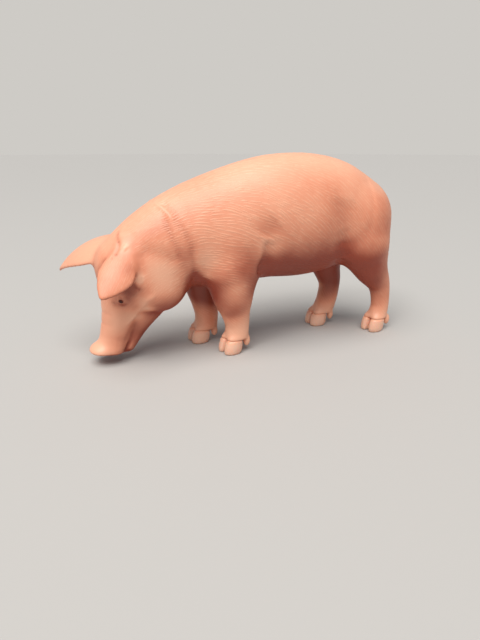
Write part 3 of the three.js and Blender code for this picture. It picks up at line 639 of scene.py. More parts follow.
# ---- The lie of the hair ----
def lie_of_hair(p, normal):
    """The hair's lie, place in the pattern and strength, its streaks' strength, and its lines' closeness."""
    s, row, _ = lie_line.nearest(p)
    tangent, q, (_, y, z) = unit(row[:, 5:8]), p - row[:, :3], p.T
    up = np.stack([0 * s, -tangent[:, 2], tangent[:, 1]], 1)
    angle = np.arctan2(np.abs(q[:, 0]), (q * up).sum(1))
    side = np.sign(q[:, 0])[:, None] * (1, 0, 0)
    round_body = side * np.cos(angle)[:, None] - up * np.sin(angle)[:, None]
    lie = tangent + round_body * (np.interp(y, *np.array(LIE_FALL).T) * np.sin(angle))[:, None]
    wander = 0.1 * (np.sin(p @ (0.31, 0.42, 0.37)) + np.sin(p @ (-0.45, 0.23, 0.66) + 2))
    lie += np.cross(normal, lie) * wander[:, None]
    grain = np.stack([s, angle * GRAIN_ROUND, 0.3 * q[:, 0]], 1)
    strength = 0.82 + 0.18 * np.sin(p @ (0.5, 0.38, 0.2)) * np.sin(p @ (0.1, -0.33, 0.52) + 1)
    for less, over_y, over_z in FAINT:
        strength *= 1 - less * smooth(*over_y, y) * smooth(*over_z, z)
    close = (1 - 0.12 * smooth(-8, -18, y) - 0.26 * smooth(-20, -32, y)) * (1 - 0.2 * smooth(30, 20, z))
    streaks = np.ones(len(p))
    found = parts(p)
    for name, tube in limb_tubes.items():
        box = np.nonzero(found["leg_" + name] < 4)[0]
        s, row, reach = tube.nearest(p[box])
        share, out = smooth(3, -3, reach - row[:, 3]) * smooth(36, 24, z[box]), p[box] - row[:, :3]
        down = row[:, 5:8] + (0, 0.25, 0)
        lie[box] = lie[box] * (1 - share)[:, None] + down * share[:, None]
        turn, mine = np.arctan2(np.abs(out[:, 0]), out[:, 1]), share > 0.5
        grain[box[mine]] = np.stack([s, turn * GRAIN_LEG, out[:, 0] * 0.5], 1)[mine]
        streaks[box] *= smooth(0, 0.3, np.abs(share - 0.5))
        strength[box] *= 1 - share * (0.45 + 0.55 * smooth(13, 8, z[box]))
    for name, shape in EARS.items():
        t, across, out, length, along = ear_frame(p, shape)
        mine = (found["ear_" + name] < 0.6) & (t > 0.05)
        share = (smooth(0.0, 0.22, t) * mine)[:, None]
        lie = lie * (1 - share) + along * share
        grain[mine] = np.stack([t * length, across, out], 1)[mine]
        edge = np.abs(across) / ear_half(np.clip(t, 0, 1), shape)
        on_leaf = 0.6 * smooth(0.92, 0.7, edge) * smooth(0.97, 0.9, t) * smooth(0.05, 0.2, t)
        strength = np.where(mine, on_leaf, strength * smooth(0.5, 2.2, found["ear_" + name]))
        close = np.where(mine, 0.5, close)
    mine = found["tail"] < 0.5
    _, row, _ = tail_tube.nearest(p[mine])
    lie[mine] = row[:, 5:8]
    strength[mine] = 0.3
    strength = np.clip(strength, 0, 1)
    return unit(lie - normal * (lie * normal).sum(1)[:, None]), grain, strength, strength * streaks, close


# ---- Blender helpers ----
# The row frame's place of the figure's own origin, in metres, found from the left eye's node.
SHIFT = np.array(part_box("eye_left")).mean(0) - np.array(EYE["at"]) * MM


def to_frame(p):
    return np.asarray(p, float) * MM + SHIFT


def placed(name, data):
    """An object of a mesh, a lamp or a camera, in the scene."""
    made = bpy.data.objects.new(name, data)
    bpy.context.scene.collection.objects.link(made)
    return made


def mesh_object(name, points, faces, material=None, edges=()):
    """An object of smooth faces from points given in millimetres of the figure's own frame."""
    mesh = bpy.data.meshes.new(name)
    mesh.from_pydata(to_frame(points).tolist(), edges, faces)
    mesh.validate()
    mesh.shade_smooth()
    if material:
        mesh.materials.append(material)
    return placed(name, mesh)


def facing_out(mesh):
    """Turns every face of a closed mesh outwards."""
    shell = bmesh.new()
    shell.from_mesh(mesh)
    bmesh.ops.recalc_face_normals(shell, faces=shell.faces)
    shell.to_mesh(mesh)
    shell.free()


def give(mesh, **columns):
    """Stores attributes of a mesh's points: vectors, whole numbers or numbers."""
    for name, values in columns.items():
        values = np.asarray(values)
        whole = values.dtype.kind == "i"
        kind, key = ("FLOAT_VECTOR", "vector") if values.ndim > 1 else ("INT" if whole else "FLOAT", "value")
        data = mesh.attributes.new(name, kind, "POINT").data
        data.foreach_set(key, values.astype(np.int32 if whole else np.float32).ravel())


def read(attribute, key, width=1):
    values = np.empty(len(attribute) * width, np.float32)
    attribute.foreach_get(key, values)
    return values.reshape(-1, width).astype(float)


def adder(tree):
    """The function that adds a node to a tree, with its settings, and with its inputs set, or linked where a
    node or a socket gives them."""

    def add(kind, inputs=None, **settings):
        node = tree.nodes.new(kind)
        for key, value in settings.items():
            setattr(node, key, value)
        for key, value in (inputs or {}).items():
            if isinstance(value, bpy.types.Node):
                value = next(output for output in value.outputs if output.enabled)
            if isinstance(value, bpy.types.NodeSocket):
                tree.links.new(value, node.inputs[key])
            else:
                node.inputs[key].default_value = value
        return node

    return add


def finished(piece, slot, *nodes):
    """Ties a piece to the figure: it rides on the root and stands for its nodes. The slot is not used."""
    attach(piece, "root")
    if nodes:
        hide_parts(*nodes)


# ---- Materials: each maker gives the inputs of its Principled shader ----
def moulded_pvc(add, look):
    """Soft PVC, injection moulded and sprayed with satin paint: an even satin sheen, painted shade, darker
    and redder, underneath, in the hollows and in the creases, painted light on the back, painted highlights
    on the hair's crests, and the mould's engraving as fine streaks."""
    place = add("ShaderNodeTexCoord").outputs["Object"]
    grain = add("ShaderNodeAttribute", attribute_name="grain").outputs["Vector"]
    tone, dark, strength, crown = (add("ShaderNodeAttribute", attribute_name=name).outputs["Fac"]
                                   for name in ("tone", "dark", "streaks", "crown"))
    # Clouds of paint about 9 mm across.
    clouds = add("ShaderNodeTexNoise", {"Vector": place, "Scale": 110, "Detail": 3})
    drift = add("ShaderNodeMath", {0: clouds, 1: 0.5}, operation="SUBTRACT")
    tone = add("ShaderNodeMath", {0: drift, 1: 0.3, 2: tone}, operation="MULTIPLY_ADD")
    # The paint steps through painted shade: palest on top, the half shade on the sides, the hollow shade
    # underneath and in hollows; then a painted highlight on the hair's crests, and the crease colour in the
    # creases and dabs.
    soft = add("ShaderNodeMapRange", {0: tone, 1: 0.05, 2: 0.45})
    deep = add("ShaderNodeMapRange", {0: tone, 1: 0.35, 2: 1}, interpolation_type="SMOOTHSTEP")
    # A painted highlight: paler paint on the crests of the hair ridges.
    crest_highlight = add("ShaderNodeMath", {0: crown, 1: 0.2}, operation="MULTIPLY")
    paint = look.light
    for share, over in ((soft, look.half_shade), (crest_highlight, look.crest), (deep, look.hollow_shade), (dark, look.crease)):
        paint = add("ShaderNodeMix", {0: share, 6: paint, 7: over}, data_type="RGBA")
    # Hair streaks: 0.45 mm across and about 5 mm long, read along the lie of the hair.
    stretch = add("ShaderNodeMapping", {"Vector": grain, "Scale": (0.2, 2.2, 2.2)})
    streaks = add("ShaderNodeTexNoise", {"Vector": stretch, "Scale": 1, "Detail": 2})
    height = add("ShaderNodeMath", {0: streaks, 1: strength}, operation="MULTIPLY")
    engraved = add("ShaderNodeBump", {"Height": height, "Strength": 0.55, "Distance": 0.0001})
    # The steel mould's fine spark texture, 0.3 mm, drawn coarser than it is so that it shows.
    spark = add("ShaderNodeTexNoise", {"Vector": place, "Scale": 3300, "Detail": 2})
    bump = add("ShaderNodeBump", {"Height": spark, "Strength": 0.25, "Distance": 0.00004, "Normal": engraved})
    low, high = look.roughness - 0.05, look.roughness + 0.05
    rough = add("ShaderNodeMapRange", {0: clouds, 1: 0.3, 2: 0.7, 3: low, 4: high})
    return {"Base Color": paint, "Roughness": rough, "Normal": bump, "IOR": 1.53, "Coat Weight": 0.06,
            "Coat Roughness": 0.3}


def toe_pvc(add, look):
    """The same soft PVC where the toes were rubbed smooth and painted paler: a shinier satin, with faint
    bands of growth round the hoof and darker paint at its upper edge."""
    place = add("ShaderNodeTexCoord").outputs["Object"]
    height = add("ShaderNodeSeparateXYZ", {0: place}).outputs["Z"]
    edge = add("ShaderNodeMapRange", {0: height, 1: 0.0036, 2: 0.0052}, interpolation_type="SMOOTHSTEP")
    paint = look.toe
    clouds = add("ShaderNodeTexNoise", {"Vector": place, "Scale": 260, "Detail": 3})
    for share, over in ((clouds, look.toe_warm), (edge, look.light)):
        paint = add("ShaderNodeMix", {0: share, 6: paint, 7: over}, data_type="RGBA")
    # Growth bands 0.8 mm apart, as on a real hoof.
    bands = add("ShaderNodeTexWave", {"Vector": place, "Scale": 390, "Distortion": 2}, bands_direction="Z")
    bump = add("ShaderNodeBump", {"Height": bands.outputs["Fac"], "Strength": 0.2, "Distance": 0.00005})
    return {"Base Color": paint, "Roughness": 0.36, "Normal": bump, "IOR": 1.53, "Subsurface Weight": 0.25,
            "Subsurface Radius": (1, 0.5, 0.3), "Subsurface Scale": 0.0015}


def eye_paint(add, look):
    """Gloss enamel dabbed on by brush: a dark brown dot, blacker in the middle, that catches the lights."""
    place = add("ShaderNodeTexCoord").outputs["Object"]
    pupil = add("ShaderNodeAttribute", attribute_name="pupil").outputs["Fac"]
    dabs = add("ShaderNodeTexNoise", {"Vector": place, "Scale": 1800, "Detail": 2})
    paint = look.iris
    for share, over in ((dabs, look.iris_warm), (pupil, look.pupil)):
        paint = add("ShaderNodeMix", {0: share, 6: paint, 7: over}, data_type="RGBA")
    bump = add("ShaderNodeBump", {"Height": dabs, "Strength": 0.1, "Distance": 0.00003})
    return {"Base Color": paint, "Roughness": 0.3, "Normal": bump, "IOR": 1.5, "Coat Weight": 0.06,
            "Coat Roughness": 0.12, "Specular IOR Level": 0.3}


def floor_paper(add, stage):
    """Matt studio paper: even, and without a highlight."""
    return {"Base Color": stage.floor, "Roughness": 0.85}


MAKERS = {"satin_painted_pvc": moulded_pvc, "pale_satin_pvc": toe_pvc, "brown_gloss_enamel": eye_paint,
          "matt_paper_floor": floor_paper}


def material_of(name, look):
    """A finish, made once and then shared."""
    material = bpy.data.materials.get(name)
    if not material:
        material = bpy.data.materials.new(name)
        material.use_nodes = True
        material.node_tree.nodes.clear()
        add = adder(material.node_tree)
        shader = add("ShaderNodeBsdfPrincipled", MAKERS[name](add, look))
        add("ShaderNodeOutputMaterial", {"Surface": shader})
    return material


# ---- Settings ----
def colour(label, description, code):
    return bpy.props.FloatVectorProperty(name=label, description=description, subtype="COLOR", size=4, min=0,
                                         max=1, default=linear(code))


def length(label, description, default, least=0.0):
    return bpy.props.FloatProperty(name=label, description=description, default=default, min=least,
                                   unit="LENGTH", subtype="DISTANCE", precision=5)


def share(label, description, default, most):
    return bpy.props.FloatProperty(name=label, description=description, default=default, min=0, max=most,
                                   subtype="FACTOR")


def light(label, description, default, **unit):
    return bpy.props.FloatProperty(name=label, description=description, default=default, min=0, **unit)


class PigLook(bpy.types.PropertyGroup):
    light: colour("Paint", "Colour of the paint on open skin", "#F2B292")
    # The half shade: the middle step of the painted shade, on the sides, moved about by the paint's clouds.
    half_shade: colour("Warm paint", "Colour of the paint's warmer clouds", "#E69574")
    # The hollow shade: painted shade, darker and redder, underneath and in hollows.
    hollow_shade: colour("Hollows", "Colour of the paint that gathers in hollows", "#983A1E")
    # The crease colour: painted shade in the folds and dabs, and the colour of the specks.
    crease: colour("Creases", "Colour at the bottom of painted creases", "#7A2E18")
    # The hair tops: a painted highlight on the crests of the hair.
    crest: colour("Hair tops", "Colour of the paint rubbed thin on the tops of the hair", "#FACBA8")
    toe: colour("Toes", "Colour of the toes", "#F8CBB0")
    toe_warm: colour("Warm toes", "Colour of the toes' warmer clouds", "#EBB095")
    iris: colour("Iris", "Colour of the eye's paint", "#74260F")
    iris_warm: colour("Warm iris", "Colour of the eye's warmer dabs", "#7A2C14")
    pupil: colour("Pupil", "Colour of the middle of the eye", "#3C140A")
    roughness: share("Roughness", "Roughness of the satin paint", 0.46, 1)


class PigShape(bpy.types.PropertyGroup):
    inset: length("Skin depth", "How far the skin lies under the hair's tops", 0.0001)
    folds: share("Folds", "Depth of the folds and wrinkles, as a share", 1.0, 2)
    spacing: length("Hair spacing", "Distance between lines of hair on the back", 0.00098, 0.0005)
    stroke: length("Hair length", "Length of one stroke of hair on the back", 0.0048, 0.001)
    width: length("Hair width", "Width of one stroke of hair on the back", 0.00125, 0.0001)
    height: length("Hair height", "How far a stroke stands off the skin", 0.0001, 0.00001)
    seed: bpy.props.IntProperty(name="Seed", description="Seed of the hair's places", default=7)


class PigStage(bpy.types.PropertyGroup):
    floor: colour("Floor", "Colour of the floor", "#B9B7B4")
    far_floor: colour("Far floor", "Colour seen behind the floor, like its far end", "#CECBC6")
    floor_radius: length("Floor radius", "Radius of the studio floor", 50 * CAD_BOX[1][2])
    key: light("Key light", "Strength of the soft light overhead", 3.35)
    box: light("Soft box", "Power of the small soft box that draws the highlights", 0.5, unit="POWER")
    sky: light("Room", "Strength of the light of the room", 0.3)


# ---- Operators ----
class PIG_OT_skin(bpy.types.Operator):
    """Builds the one skin of the figure, with its folds, ears and tail"""

    bl_idname = "plastic_pig.skin"
    bl_label = "Build the skin"

    def execute(self, context):
        shape = context.scene.pig_shape
        level = shape.inset / MM

        def skin_field(p):
            return flesh(p) + level

        axes = [ticks(ranges) for ranges in NET]
        points, quads = net(axes, sampled(axes, skin_field))
        points, normal = settle(skin_field, relaxed(skin_field, points, quads))
        lie, grain, strength, streaks, close = lie_of_hair(points, normal)
        depth, dark = crease_depths(points)
        depth *= shape.folds
        tone = painted_light_and_shade(points, normal, depth)
        material = material_of("satin_painted_pvc", context.scene.pig_look)
        skin = mesh_object("pig_skin", points - normal * depth[:, None], quads.tolist(), material)
        give(skin.data, tone=tone, dark=dark, strength=strength, streaks=streaks, close=close, grain=grain,
             lie=lie)
        nodes = [row["node"] for row in frame["record"]["subparts"]]
        finished(skin, "skin", *(node for node in nodes if not node.startswith(("eye", "hoof"))))
        return {"FINISHED"}


class HairLines:
    """Evenly spaced lines over the skin that follow the lie of its hair, in millimetres."""

    STEP = 0.45  # length of a step along a line
    CELL = 1.4  # size of the boxes in which neighbours are looked up; the widest spacing is below it
    SEEDS = 900  # places where a first line is tried
    LONGEST = 90  # steps each way from a line's seed
    SHORTEST = 4  # points of a line
    ASK = 3  # steps between the points that ask for a neighbour on each side
    MERGE = 0.55  # share of the spacing at which a line that nears another ends
    ROOM = (0.76, 1.0)  # shares of the spacing, between which a new line's seed needs it free
    BALD = 0.12  # strength of the hair below which there is none
    STRAIGHT, LEVEL = 0.6, 0.85  # cosines of the sharpest turn of a line, and of the skin under it, in a step

    def __init__(self, skin, spacing):
        mesh = skin.data
        self.points = (read(mesh.vertices, "co", 3) - SHIFT) / MM
        corners = np.empty(len(mesh.loops), int)
        mesh.loops.foreach_get("vertex_index", corners)
        self.faces = corners.reshape(-1, 4)
        self.tree = BVHTree.FromPolygons(self.points.tolist(), self.faces.tolist())
        self.lie = [Vector(v) for v in self.of_faces(mesh, "lie", 3).tolist()]
        self.strength, self.share = (self.of_faces(mesh, name)[:, 0] for name in ("strength", "close"))
        self.spacing = (spacing * self.share).tolist()
        self.taken = {}

    def of_faces(self, mesh, name, width=1):
        """An attribute of the points, as its mean over each face."""
        key = "vector" if width > 1 else "value"
        return read(mesh.attributes[name].data, key, width)[self.faces].mean(1)

    def crowded(self, p, gap, but=None):
        """True if another line passes nearer than the gap."""
        near = ((c // self.CELL - 1, c // self.CELL, c // self.CELL + 1) for c in p)
        return any(line != but and (q - p).length_squared < gap * gap
                   for cell in product(*near) for q, line in self.taken.get(cell, ()))

    def half_line(self, p, face, way, line):
        """The points and faces met by following the hair one way from a seed."""
        met, heading, level = [], self.lie[face] * way, None
        for _ in range(self.LONGEST):
            q, up, face, _ = self.tree.find_nearest(p + heading * self.STEP)
            turn = self.lie[face] * way
            if self.strength[face] < self.BALD or turn.dot(heading) < self.STRAIGHT:
                break
            if level and up.dot(level) < self.LEVEL or self.crowded(q, self.MERGE * self.spacing[face], line):
                break
            met.append((q, up, face))
            p, heading, level = q, turn.normalized(), up
        return met

    def trace(self, start, line, room):
        p, up, face, _ = self.tree.find_nearest(start)
        if self.strength[face] < self.BALD or self.crowded(p, room * self.spacing[face]):
            return []
        back = self.half_line(p, face, -1, line)
        found = back[::-1] + [(p, up, face)] + self.half_line(p, face, 1, line)
        if len(found) < self.SHORTEST:
            return []
        for q, _, _ in found:
            self.taken.setdefault(tuple(c // self.CELL for c in q), []).append((q, line))
        return found

    def all(self, random):
        """Every line, each as its points, ways up and faces."""
        seeds = [Vector(self.points[i]) for i in random.sample(range(len(self.points)), self.SEEDS)]
        lines, waiting = [], []
        while seeds or waiting:
            start = waiting.pop(0) if waiting else seeds.pop()
            found = self.trace(start, len(lines), random.uniform(*self.ROOM))
            if found:
                lines.append(found)
            for q, up, face in found[::self.ASK]:
                aside = up.cross(self.lie[face]).normalized() * self.spacing[face]
                waiting += [q + aside, q - aside]
        return lines


def hair_tree():
    """Geometry nodes that turn lines of hair into moulded ridges, tapered, laid on the skin and mapped."""
    tree = bpy.data.node_groups.new("moulded_hair", "GeometryNodeTree")
    sockets = {"Geometry": "Geometry", "Width": "Float", "Height": "Float", "Variation": "Float",
               "Seed": "Int", "Patch": "Float", "Material": "Material"}
    for name, kind in sockets.items():
        tree.interface.new_socket(name, in_out="INPUT", socket_type="NodeSocket" + kind)
    tree.interface.new_socket("Geometry", in_out="OUTPUT", socket_type="NodeSocketGeometry")
    add = adder(tree)
    given = add("NodeGroupInput").outputs
    columns = {"stroke": "INT", "thick": "FLOAT", "crown": "FLOAT", "up": "FLOAT_VECTOR",
               "root": "FLOAT_VECTOR"}
    stroke, thick, crest, up, root = (
        add("GeometryNodeInputNamedAttribute", {"Name": name}, data_type=kind)
        for name, kind in columns.items())
    least = add("ShaderNodeMath", {0: 1, 1: given["Variation"]}, operation="SUBTRACT")
    seed = add("ShaderNodeMath", {0: given["Seed"], 1: 1}, operation="ADD")
    vary = add("FunctionNodeRandomValue", {"Min": least, "Max": 1, "Seed": seed, "ID": stroke})
    swell = add("ShaderNodeMath", {0: vary, 1: thick}, operation="MULTIPLY")
    curve = add("GeometryNodeMeshToCurve", {"Mesh": given["Geometry"]})
    curve = add("GeometryNodeSetCurveNormal", {"Curve": curve, "Normal": up}, mode="FREE")
    # The section: a low crown on the skin, and flanks that run on under it, so that they meet it at a slant.
    corners = {"Point 1": (-1.6, -1.35, 0), "Point 2": (1, -0.3, 0), "Point 3": (1, 0.3, 0),
               "Point 4": (-1.6, 1.35, 0)}
    section = add("GeometryNodeCurvePrimitiveQuadrilateral", corners, mode="POINTS")
    level = add("ShaderNodeSeparateXYZ", {0: add("GeometryNodeInputPosition")}).outputs["X"]
    # The crown marks the top of the section: it alone is shaded smooth, and the material paints a highlight
    # there.
    crown = add("ShaderNodeMath", {0: level, 1: 0}, operation="GREATER_THAN")
    section = add("GeometryNodeStoreNamedAttribute", {"Geometry": section, "Name": "crown", "Value": crown},
                  data_type="FLOAT", domain="POINT")
    half = add("ShaderNodeMath", {0: given["Width"], 1: 0.5}, operation="MULTIPLY")
    size = add("ShaderNodeCombineXYZ", {"X": given["Height"], "Y": half, "Z": 1})
    section = add("GeometryNodeTransform", {"Geometry": section, "Scale": size})
    # How far along its line and round its section each corner is, kept for the unwrap.
    kept = []
    for shape, name in ((curve, "Along"), (section, "Around")):
        kept.append(add("GeometryNodeCaptureAttribute", {"Geometry": shape}))
        kept[-1].capture_items.new("FLOAT", name)
        tree.links.new(add("GeometryNodeSplineParameter").outputs["Factor"], kept[-1].inputs[name])
    ridge = add("GeometryNodeCurveToMesh",
                {"Curve": kept[0], "Profile Curve": kept[1], "Scale": swell, "Fill Caps": True})
    patch = add("ShaderNodeCombineXYZ", {"X": kept[0].outputs["Along"], "Y": kept[1].outputs["Around"]})
    patch = add("ShaderNodeVectorMath", {0: patch, "Scale": given["Patch"]}, operation="SCALE")
    spot = add("ShaderNodeVectorMath", {0: root, 1: patch}, operation="ADD")
    ridge = add("GeometryNodeStoreNamedAttribute", {"Geometry": ridge, "Name": "OFBake", "Value": spot},
                data_type="FLOAT2", domain="CORNER")
    # The hidden underside stays flat, so that it doesn't bend the shading of the flanks.
    seen = add("ShaderNodeMath", {0: crest, 1: 0.2}, operation="GREATER_THAN")
    ridge = add("GeometryNodeSetShadeSmooth", {"Geometry": ridge, "Shade Smooth": seen})
    ridge = add("GeometryNodeRealizeInstances", {"Geometry": ridge})
    ridge = add("GeometryNodeSetMaterial", {"Geometry": ridge, "Material": given["Material"]})
    add("NodeGroupOutput", {"Geometry": ridge})
    return tree


class PIG_OT_coat(bpy.types.Operator):
    """Lays the moulded hair over the skin, in strokes that follow its lie"""

    bl_idname = "plastic_pig.coat"
    bl_label = "Lay the hair"

    PATCH = 0.003  # size of a stroke's patch on the unwrapped skin
    ASIDE = 0.16  # millimetres that a stroke may leave its line
    SHORTEST = 5  # points of a stroke
    VARIES = (0.5, 1.5)  # shares of its usual length
    OVERLAP = (1, 3)  # points by which a stroke runs over the one before it
    HEAD = {"shorter": 0.42, "from": -14, "to": -28}  # share by which the head's hair is shorter, and its y
    THINNEST = 0.05  # share of its full width at a stroke's ends
    # Where the coat is parted into pieces, by y of a stroke's middle: from and to.
    PIECES = {"hair_head": (-FAR * 2, -17), "hair_forequarters": (-17, 14), "hair_back": (14, FAR * 2)}

    def unwrap(self, skin):
        """The skin's own unwrap, given as a place for each face."""
        bpy.context.view_layer.objects.active = skin
        skin.select_set(True)
        bpy.ops.object.mode_set(mode="EDIT")
        bpy.ops.mesh.select_all(action="SELECT")
        bpy.ops.uv.smart_project(angle_limit=math.radians(66), island_margin=0.002)
        bpy.ops.object.mode_set(mode="OBJECT")
        skin.data.uv_layers.active.name = "OFBake"
        return read(skin.data.uv_layers["OFBake"].uv, "vector", 2).reshape(-1, 4, 2).mean(1)

    def strokes(self, lines, length, random):
        """The lines cut into strokes, each a little to one side and over the end of the one before it."""
        for line in lines:
            start = random.randint(0, 4)
            while len(line) - start >= self.SHORTEST:
                p, _, face = line[start]
                share = 1 - self.HEAD["shorter"] * float(smooth(self.HEAD["from"], self.HEAD["to"], p.y))
                steps = length * share / HairLines.STEP * random.uniform(*self.VARIES)
                count = max(self.SHORTEST, round(steps))
                stroke = line[start:start + count]
                if len(stroke) >= self.SHORTEST:
                    yield stroke, face, random.uniform(-self.ASIDE, self.ASIDE)
                start += max(3, count - random.randint(*self.OVERLAP))

    def lay(self, name, strokes, hair, uv, context):
        """One piece of the coat from its strokes."""
        rows, edges = [], []
        for number, (stroke, face, aside) in enumerate(strokes):
            kept = stroke[::2] if len(stroke) % 2 else stroke[::2] + [stroke[-1]]
            edges += [(len(rows) + i, len(rows) + i + 1) for i in range(len(kept) - 1)]
            for i, (p, up, here) in enumerate(kept):
                taper = max(math.sin(math.pi * (i / (len(kept) - 1)) ** 0.85), self.THINNEST)
                thick = taper * hair.share[here] * (0.3 + 0.7 * hair.strength[here])
                aside_by = up.cross(hair.lie[here]).normalized() * aside
                rows.append((p + aside_by, up, thick, (*uv[face], 0), number, here))
        points, ups, thick, roots, numbers, faces = (np.array(column) for column in zip(*rows))
        coat, skin = mesh_object(name, points, [], edges=edges), bpy.data.objects["pig_skin"].data
        # The hair takes the painted shade and dark paint of the skin beneath it.
        give(coat.data, up=ups, thick=thick, root=roots, stroke=numbers,
             **{key: hair.of_faces(skin, key)[faces, 0] for key in ("tone", "dark")})
        shape, look = context.scene.pig_shape, context.scene.pig_look
        tree = bpy.data.node_groups.get("moulded_hair") or hair_tree()
        modifier = coat.modifiers.new("moulded_hair", "NODES")
        modifier.node_group = tree
        values = {"Width": shape.width, "Height": shape.height, "Variation": 0.55, "Seed": shape.seed,
                  "Patch": self.PATCH, "Material": material_of("satin_painted_pvc", look)}
        for item in tree.interface.items_tree:
            if item.in_out == "INPUT" and item.name in values:
                modifier[item.identifier] = values[item.name]
        result = bpy.data.meshes.new_from_object(coat.evaluated_get(context.evaluated_depsgraph_get()))
        coat.modifiers.clear()
        coat.data = result
        finished(coat, "skin")

    def execute(self, context):
        shape, skin = context.scene.pig_shape, bpy.data.objects["pig_skin"]
        uv, random = self.unwrap(skin), Random(shape.seed)
        hair = HairLines(skin, shape.spacing / MM)
        cut = list(self.strokes(hair.all(random), shape.stroke / MM, random))
        for name, (front, rear) in self.PIECES.items():
            chosen = [row for row in cut if front <= row[0][len(row[0]) // 2][0].y < rear]
            self.lay(name, chosen, hair, uv, context)
        return {"FINISHED"}


class PIG_OT_toes(bpy.types.Operator):
    """Builds the eight toes"""

    bl_idname = "plastic_pig.toes"
    bl_label = "Build the toes"

    # Height, half width, half length and middle forwards of each ring of a toe, from its sole up.
    RINGS = [(0, 1, 2.3, 1.1), (0, 1.4, 2.75, 1.12), (0.25, 1.75, 3.1, 1.15), (0.9, 1.98, 3.35, 1.12),
             (1.9, 2.1, 3.42, 1), (3, 2.12, 3.38, 0.82), (4, 2.08, 3.22, 0.64), (4.7, 1.98, 3.05, 0.52),
             (5.1, 1.7, 2.65, 0.46), (5.3, 1.2, 1.95, 0.42)]
    SPREAD = 2.15
    SQUARE = 0.8  # below 1 the section is fuller than an ellipse
    NARROW, TURNED_IN = 0.16, 0.35  # how much narrower a toe's tip is, as a share, and how far in it turns
    COUNT = 32

    def toe(self, foot, side):
        points, n = [], self.COUNT
        for height, width, length, forward in self.RINGS:
            for i in range(n):
                cos, sin = turned(360 * i / n)
                ahead = max(sin, 0)
                across = math.copysign(abs(cos) ** self.SQUARE, cos) * width * (1 - self.NARROW * ahead ** 2)
                middle = side * (self.SPREAD - self.TURNED_IN * ahead ** 3)
                points.append(foot_point(foot, middle + across, forward + length * sin, height))
        top = len(points) - n
        faces = [[r + i, r + (i + 1) % n, r + n + (i + 1) % n, r + n + i]
                 for r in range(0, top, n) for i in range(n)]
        return points, faces + [list(range(n))[::-1], list(range(top, top + n))]

    def execute(self, context):
        for name, leg in LEGS.items():
            for side_name, side in (("left", 1), ("right", -1)):
                material = material_of("pale_satin_pvc", context.scene.pig_look)
                toe = mesh_object(f"toe_{name}_{side_name}", *self.toe(leg["foot"], side), material)
                facing_out(toe.data)
                finished(toe, "hoof", f"hoof_{name}_{side_name}")
        return {"FINISHED"}


class PIG_OT_eyes(bpy.types.Operator):
    """Builds the two painted eyes"""

    bl_idname = "plastic_pig.eyes"
    bl_label = "Build the eyes"

    RINGS, SIDES = 20, 32
    CORNEA = {"height": 0.06, "spread": 0.55}  # millimetres, and radians from the gaze
    PUPIL = (0.22, 0.42)  # radians from the gaze to its edge and the edge's far side

    def execute(self, context):
        n, (gaze, corner, up) = self.SIDES, eye_frame()
        rings = [(r / self.RINGS, i / n) for r in range(1, self.RINGS) for i in range(n)]
        polar, turn = math.pi * np.array([(0, 0), *rings, (1, 0)]).T[:, :, None] * [[[1]], [[2]]]
        way = gaze * np.cos(polar) + (corner * np.cos(turn) + up * np.sin(turn)) * np.sin(polar)
        bulge = self.CORNEA["height"] * np.exp(-((polar / self.CORNEA["spread"]) ** 2))
        points = np.array(EYE["at"]) + way * (EYE["radius"] + bulge)
        last = len(points) - 1
        faces = [[0, 1 + i, 1 + (i + 1) % n] for i in range(n)]
        for a in range(1, last - n, n):
            faces += [[a + i, a + n + i, a + n + (i + 1) % n, a + (i + 1) % n] for i in range(n)]
        faces += [[last - n + i, last, last - n + (i + 1) % n] for i in range(n)]
        for name, side in (("left", 1), ("right", -1)):
            material = material_of("brown_gloss_enamel", context.scene.pig_look)
            eye = mesh_object(f"painted_eye_{name}", points * (side, 1, 1), faces, material)
            give(eye.data, pupil=1 - smooth(*self.PUPIL, polar[:, 0]))
            facing_out(eye.data)
            finished(eye, "eye", f"eye_{name}")
        return {"FINISHED"}


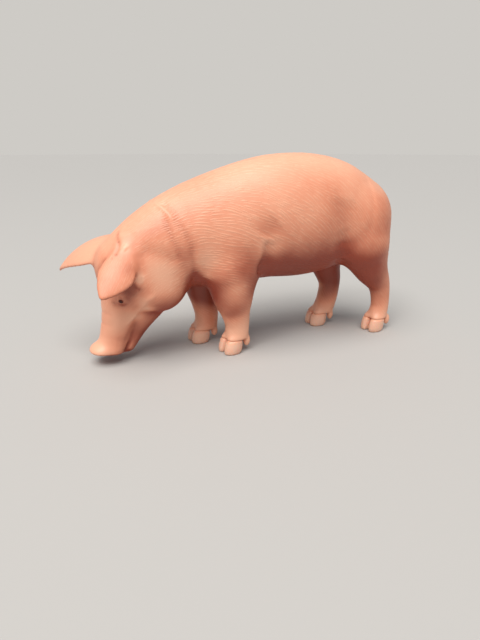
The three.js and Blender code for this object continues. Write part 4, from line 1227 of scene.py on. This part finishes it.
class PIG_OT_stage(bpy.types.Operator):
    """Lays the studio floor, hangs the lights and sets up the camera"""

    bl_idname = "plastic_pig.stage"
    bl_label = "Set the stage"

    CAMERA_AT = (157.3, -55.94, 71.0)  # millimetres in the figure's own frame
    LOOK_DOWN, TURN = 20.2, 21.6  # degrees
    FOCAL_PIXELS, FRAME_HEIGHT = 480.8, 640
    SENSOR = 36.0
    AIM = Vector((0, 0, 0.035))
    FLOOR_SIDES = 96

    def light(self, kind, name, at, energy, tint, **settings):
        """A lamp that shines from a place towards the figure."""
        lamp = bpy.data.lights.new(name, kind)
        for key, value in {"energy": energy, "color": tint, **settings}.items():
            setattr(lamp, key, value)
        made = placed(name, lamp)
        made.location = at
        made.rotation_euler = (Vector(at) - self.AIM).to_track_quat("Z", "Y").to_euler()

    def floor(self, stage):
        ring = np.array([(*turned(360 * i / self.FLOOR_SIDES), 0) for i in range(self.FLOOR_SIDES)])
        mesh = bpy.data.meshes.new("studio_floor")
        mesh.from_pydata((ring * stage.floor_radius).tolist(), [], [list(range(self.FLOOR_SIDES))])
        mesh.materials.append(material_of("matt_paper_floor", stage))
        placed("studio_floor", mesh)

    def execute(self, context):
        stage, scene = context.scene.pig_stage, context.scene
        self.floor(stage)
        self.light("SUN", "key", (0.25, -0.2, 0.75), stage.key, (1.0, 0.97, 0.93), angle=math.radians(55))
        self.light("AREA", "soft_box", (0.25, -0.3, 0.5), stage.box, (1, 0.99, 0.97), shape="DISK", size=0.12)
        scene.world = bpy.data.worlds.new("studio_room")
        scene.world.use_nodes = True
        scene.world.node_tree.nodes.clear()
        add = adder(scene.world.node_tree)
        room = add("ShaderNodeBackground", {"Color": (0.93, 0.96, 1, 1), "Strength": stage.sky})
        far_floor = add("ShaderNodeBackground", {"Color": stage.far_floor, "Strength": 1})
        seen = add("ShaderNodeLightPath").outputs["Is Camera Ray"]
        shown = add("ShaderNodeMixShader", {0: seen, 1: room, 2: far_floor})
        add("ShaderNodeOutputWorld", {"Surface": shown})
        scene.view_settings.view_transform = "Standard"
        data = bpy.data.cameras.new("camera")
        data.sensor_width = self.SENSOR
        data.lens = self.FOCAL_PIXELS / self.FRAME_HEIGHT * self.SENSOR
        data.clip_start, data.clip_end = 0.01, 20
        scene.camera = placed("camera", data)
        scene.camera.location = to_frame(self.CAMERA_AT)
        scene.camera.rotation_euler = (math.radians(90 - self.LOOK_DOWN), 0, math.radians(90 - self.TURN))
        return {"FINISHED"}


class PIG_PT_panel(bpy.types.Panel):
    """Lists the settings and the steps that build the figure"""

    bl_idname = "PIG_PT_panel"
    bl_label = "Plastic Pig"
    bl_space_type = "VIEW_3D"
    bl_region_type = "UI"
    bl_category = "Plastic Pig"

    def draw(self, context):
        for group in (context.scene.pig_look, context.scene.pig_shape, context.scene.pig_stage):
            box = self.layout.box()
            for name in group.__annotations__:
                box.prop(group, name)
        for step in STEPS:
            self.layout.operator(step.bl_idname)


GROUPS = {"pig_look": PigLook, "pig_shape": PigShape, "pig_stage": PigStage}
STEPS = (PIG_OT_stage, PIG_OT_skin, PIG_OT_coat, PIG_OT_toes, PIG_OT_eyes)


def register():
    for cls in (*GROUPS.values(), *STEPS, PIG_PT_panel):
        bpy.utils.register_class(cls)
    for name, cls in GROUPS.items():
        setattr(bpy.types.Scene, name, bpy.props.PointerProperty(type=cls))


def unregister():
    for name in GROUPS:
        delattr(bpy.types.Scene, name)
    for cls in reversed((*GROUPS.values(), *STEPS, PIG_PT_panel)):
        bpy.utils.unregister_class(cls)


def main():
    register()
    for step in STEPS:
        group, name = step.bl_idname.split(".")
        getattr(getattr(bpy.ops, group), name)()


if __name__ == "__main__":
    main()
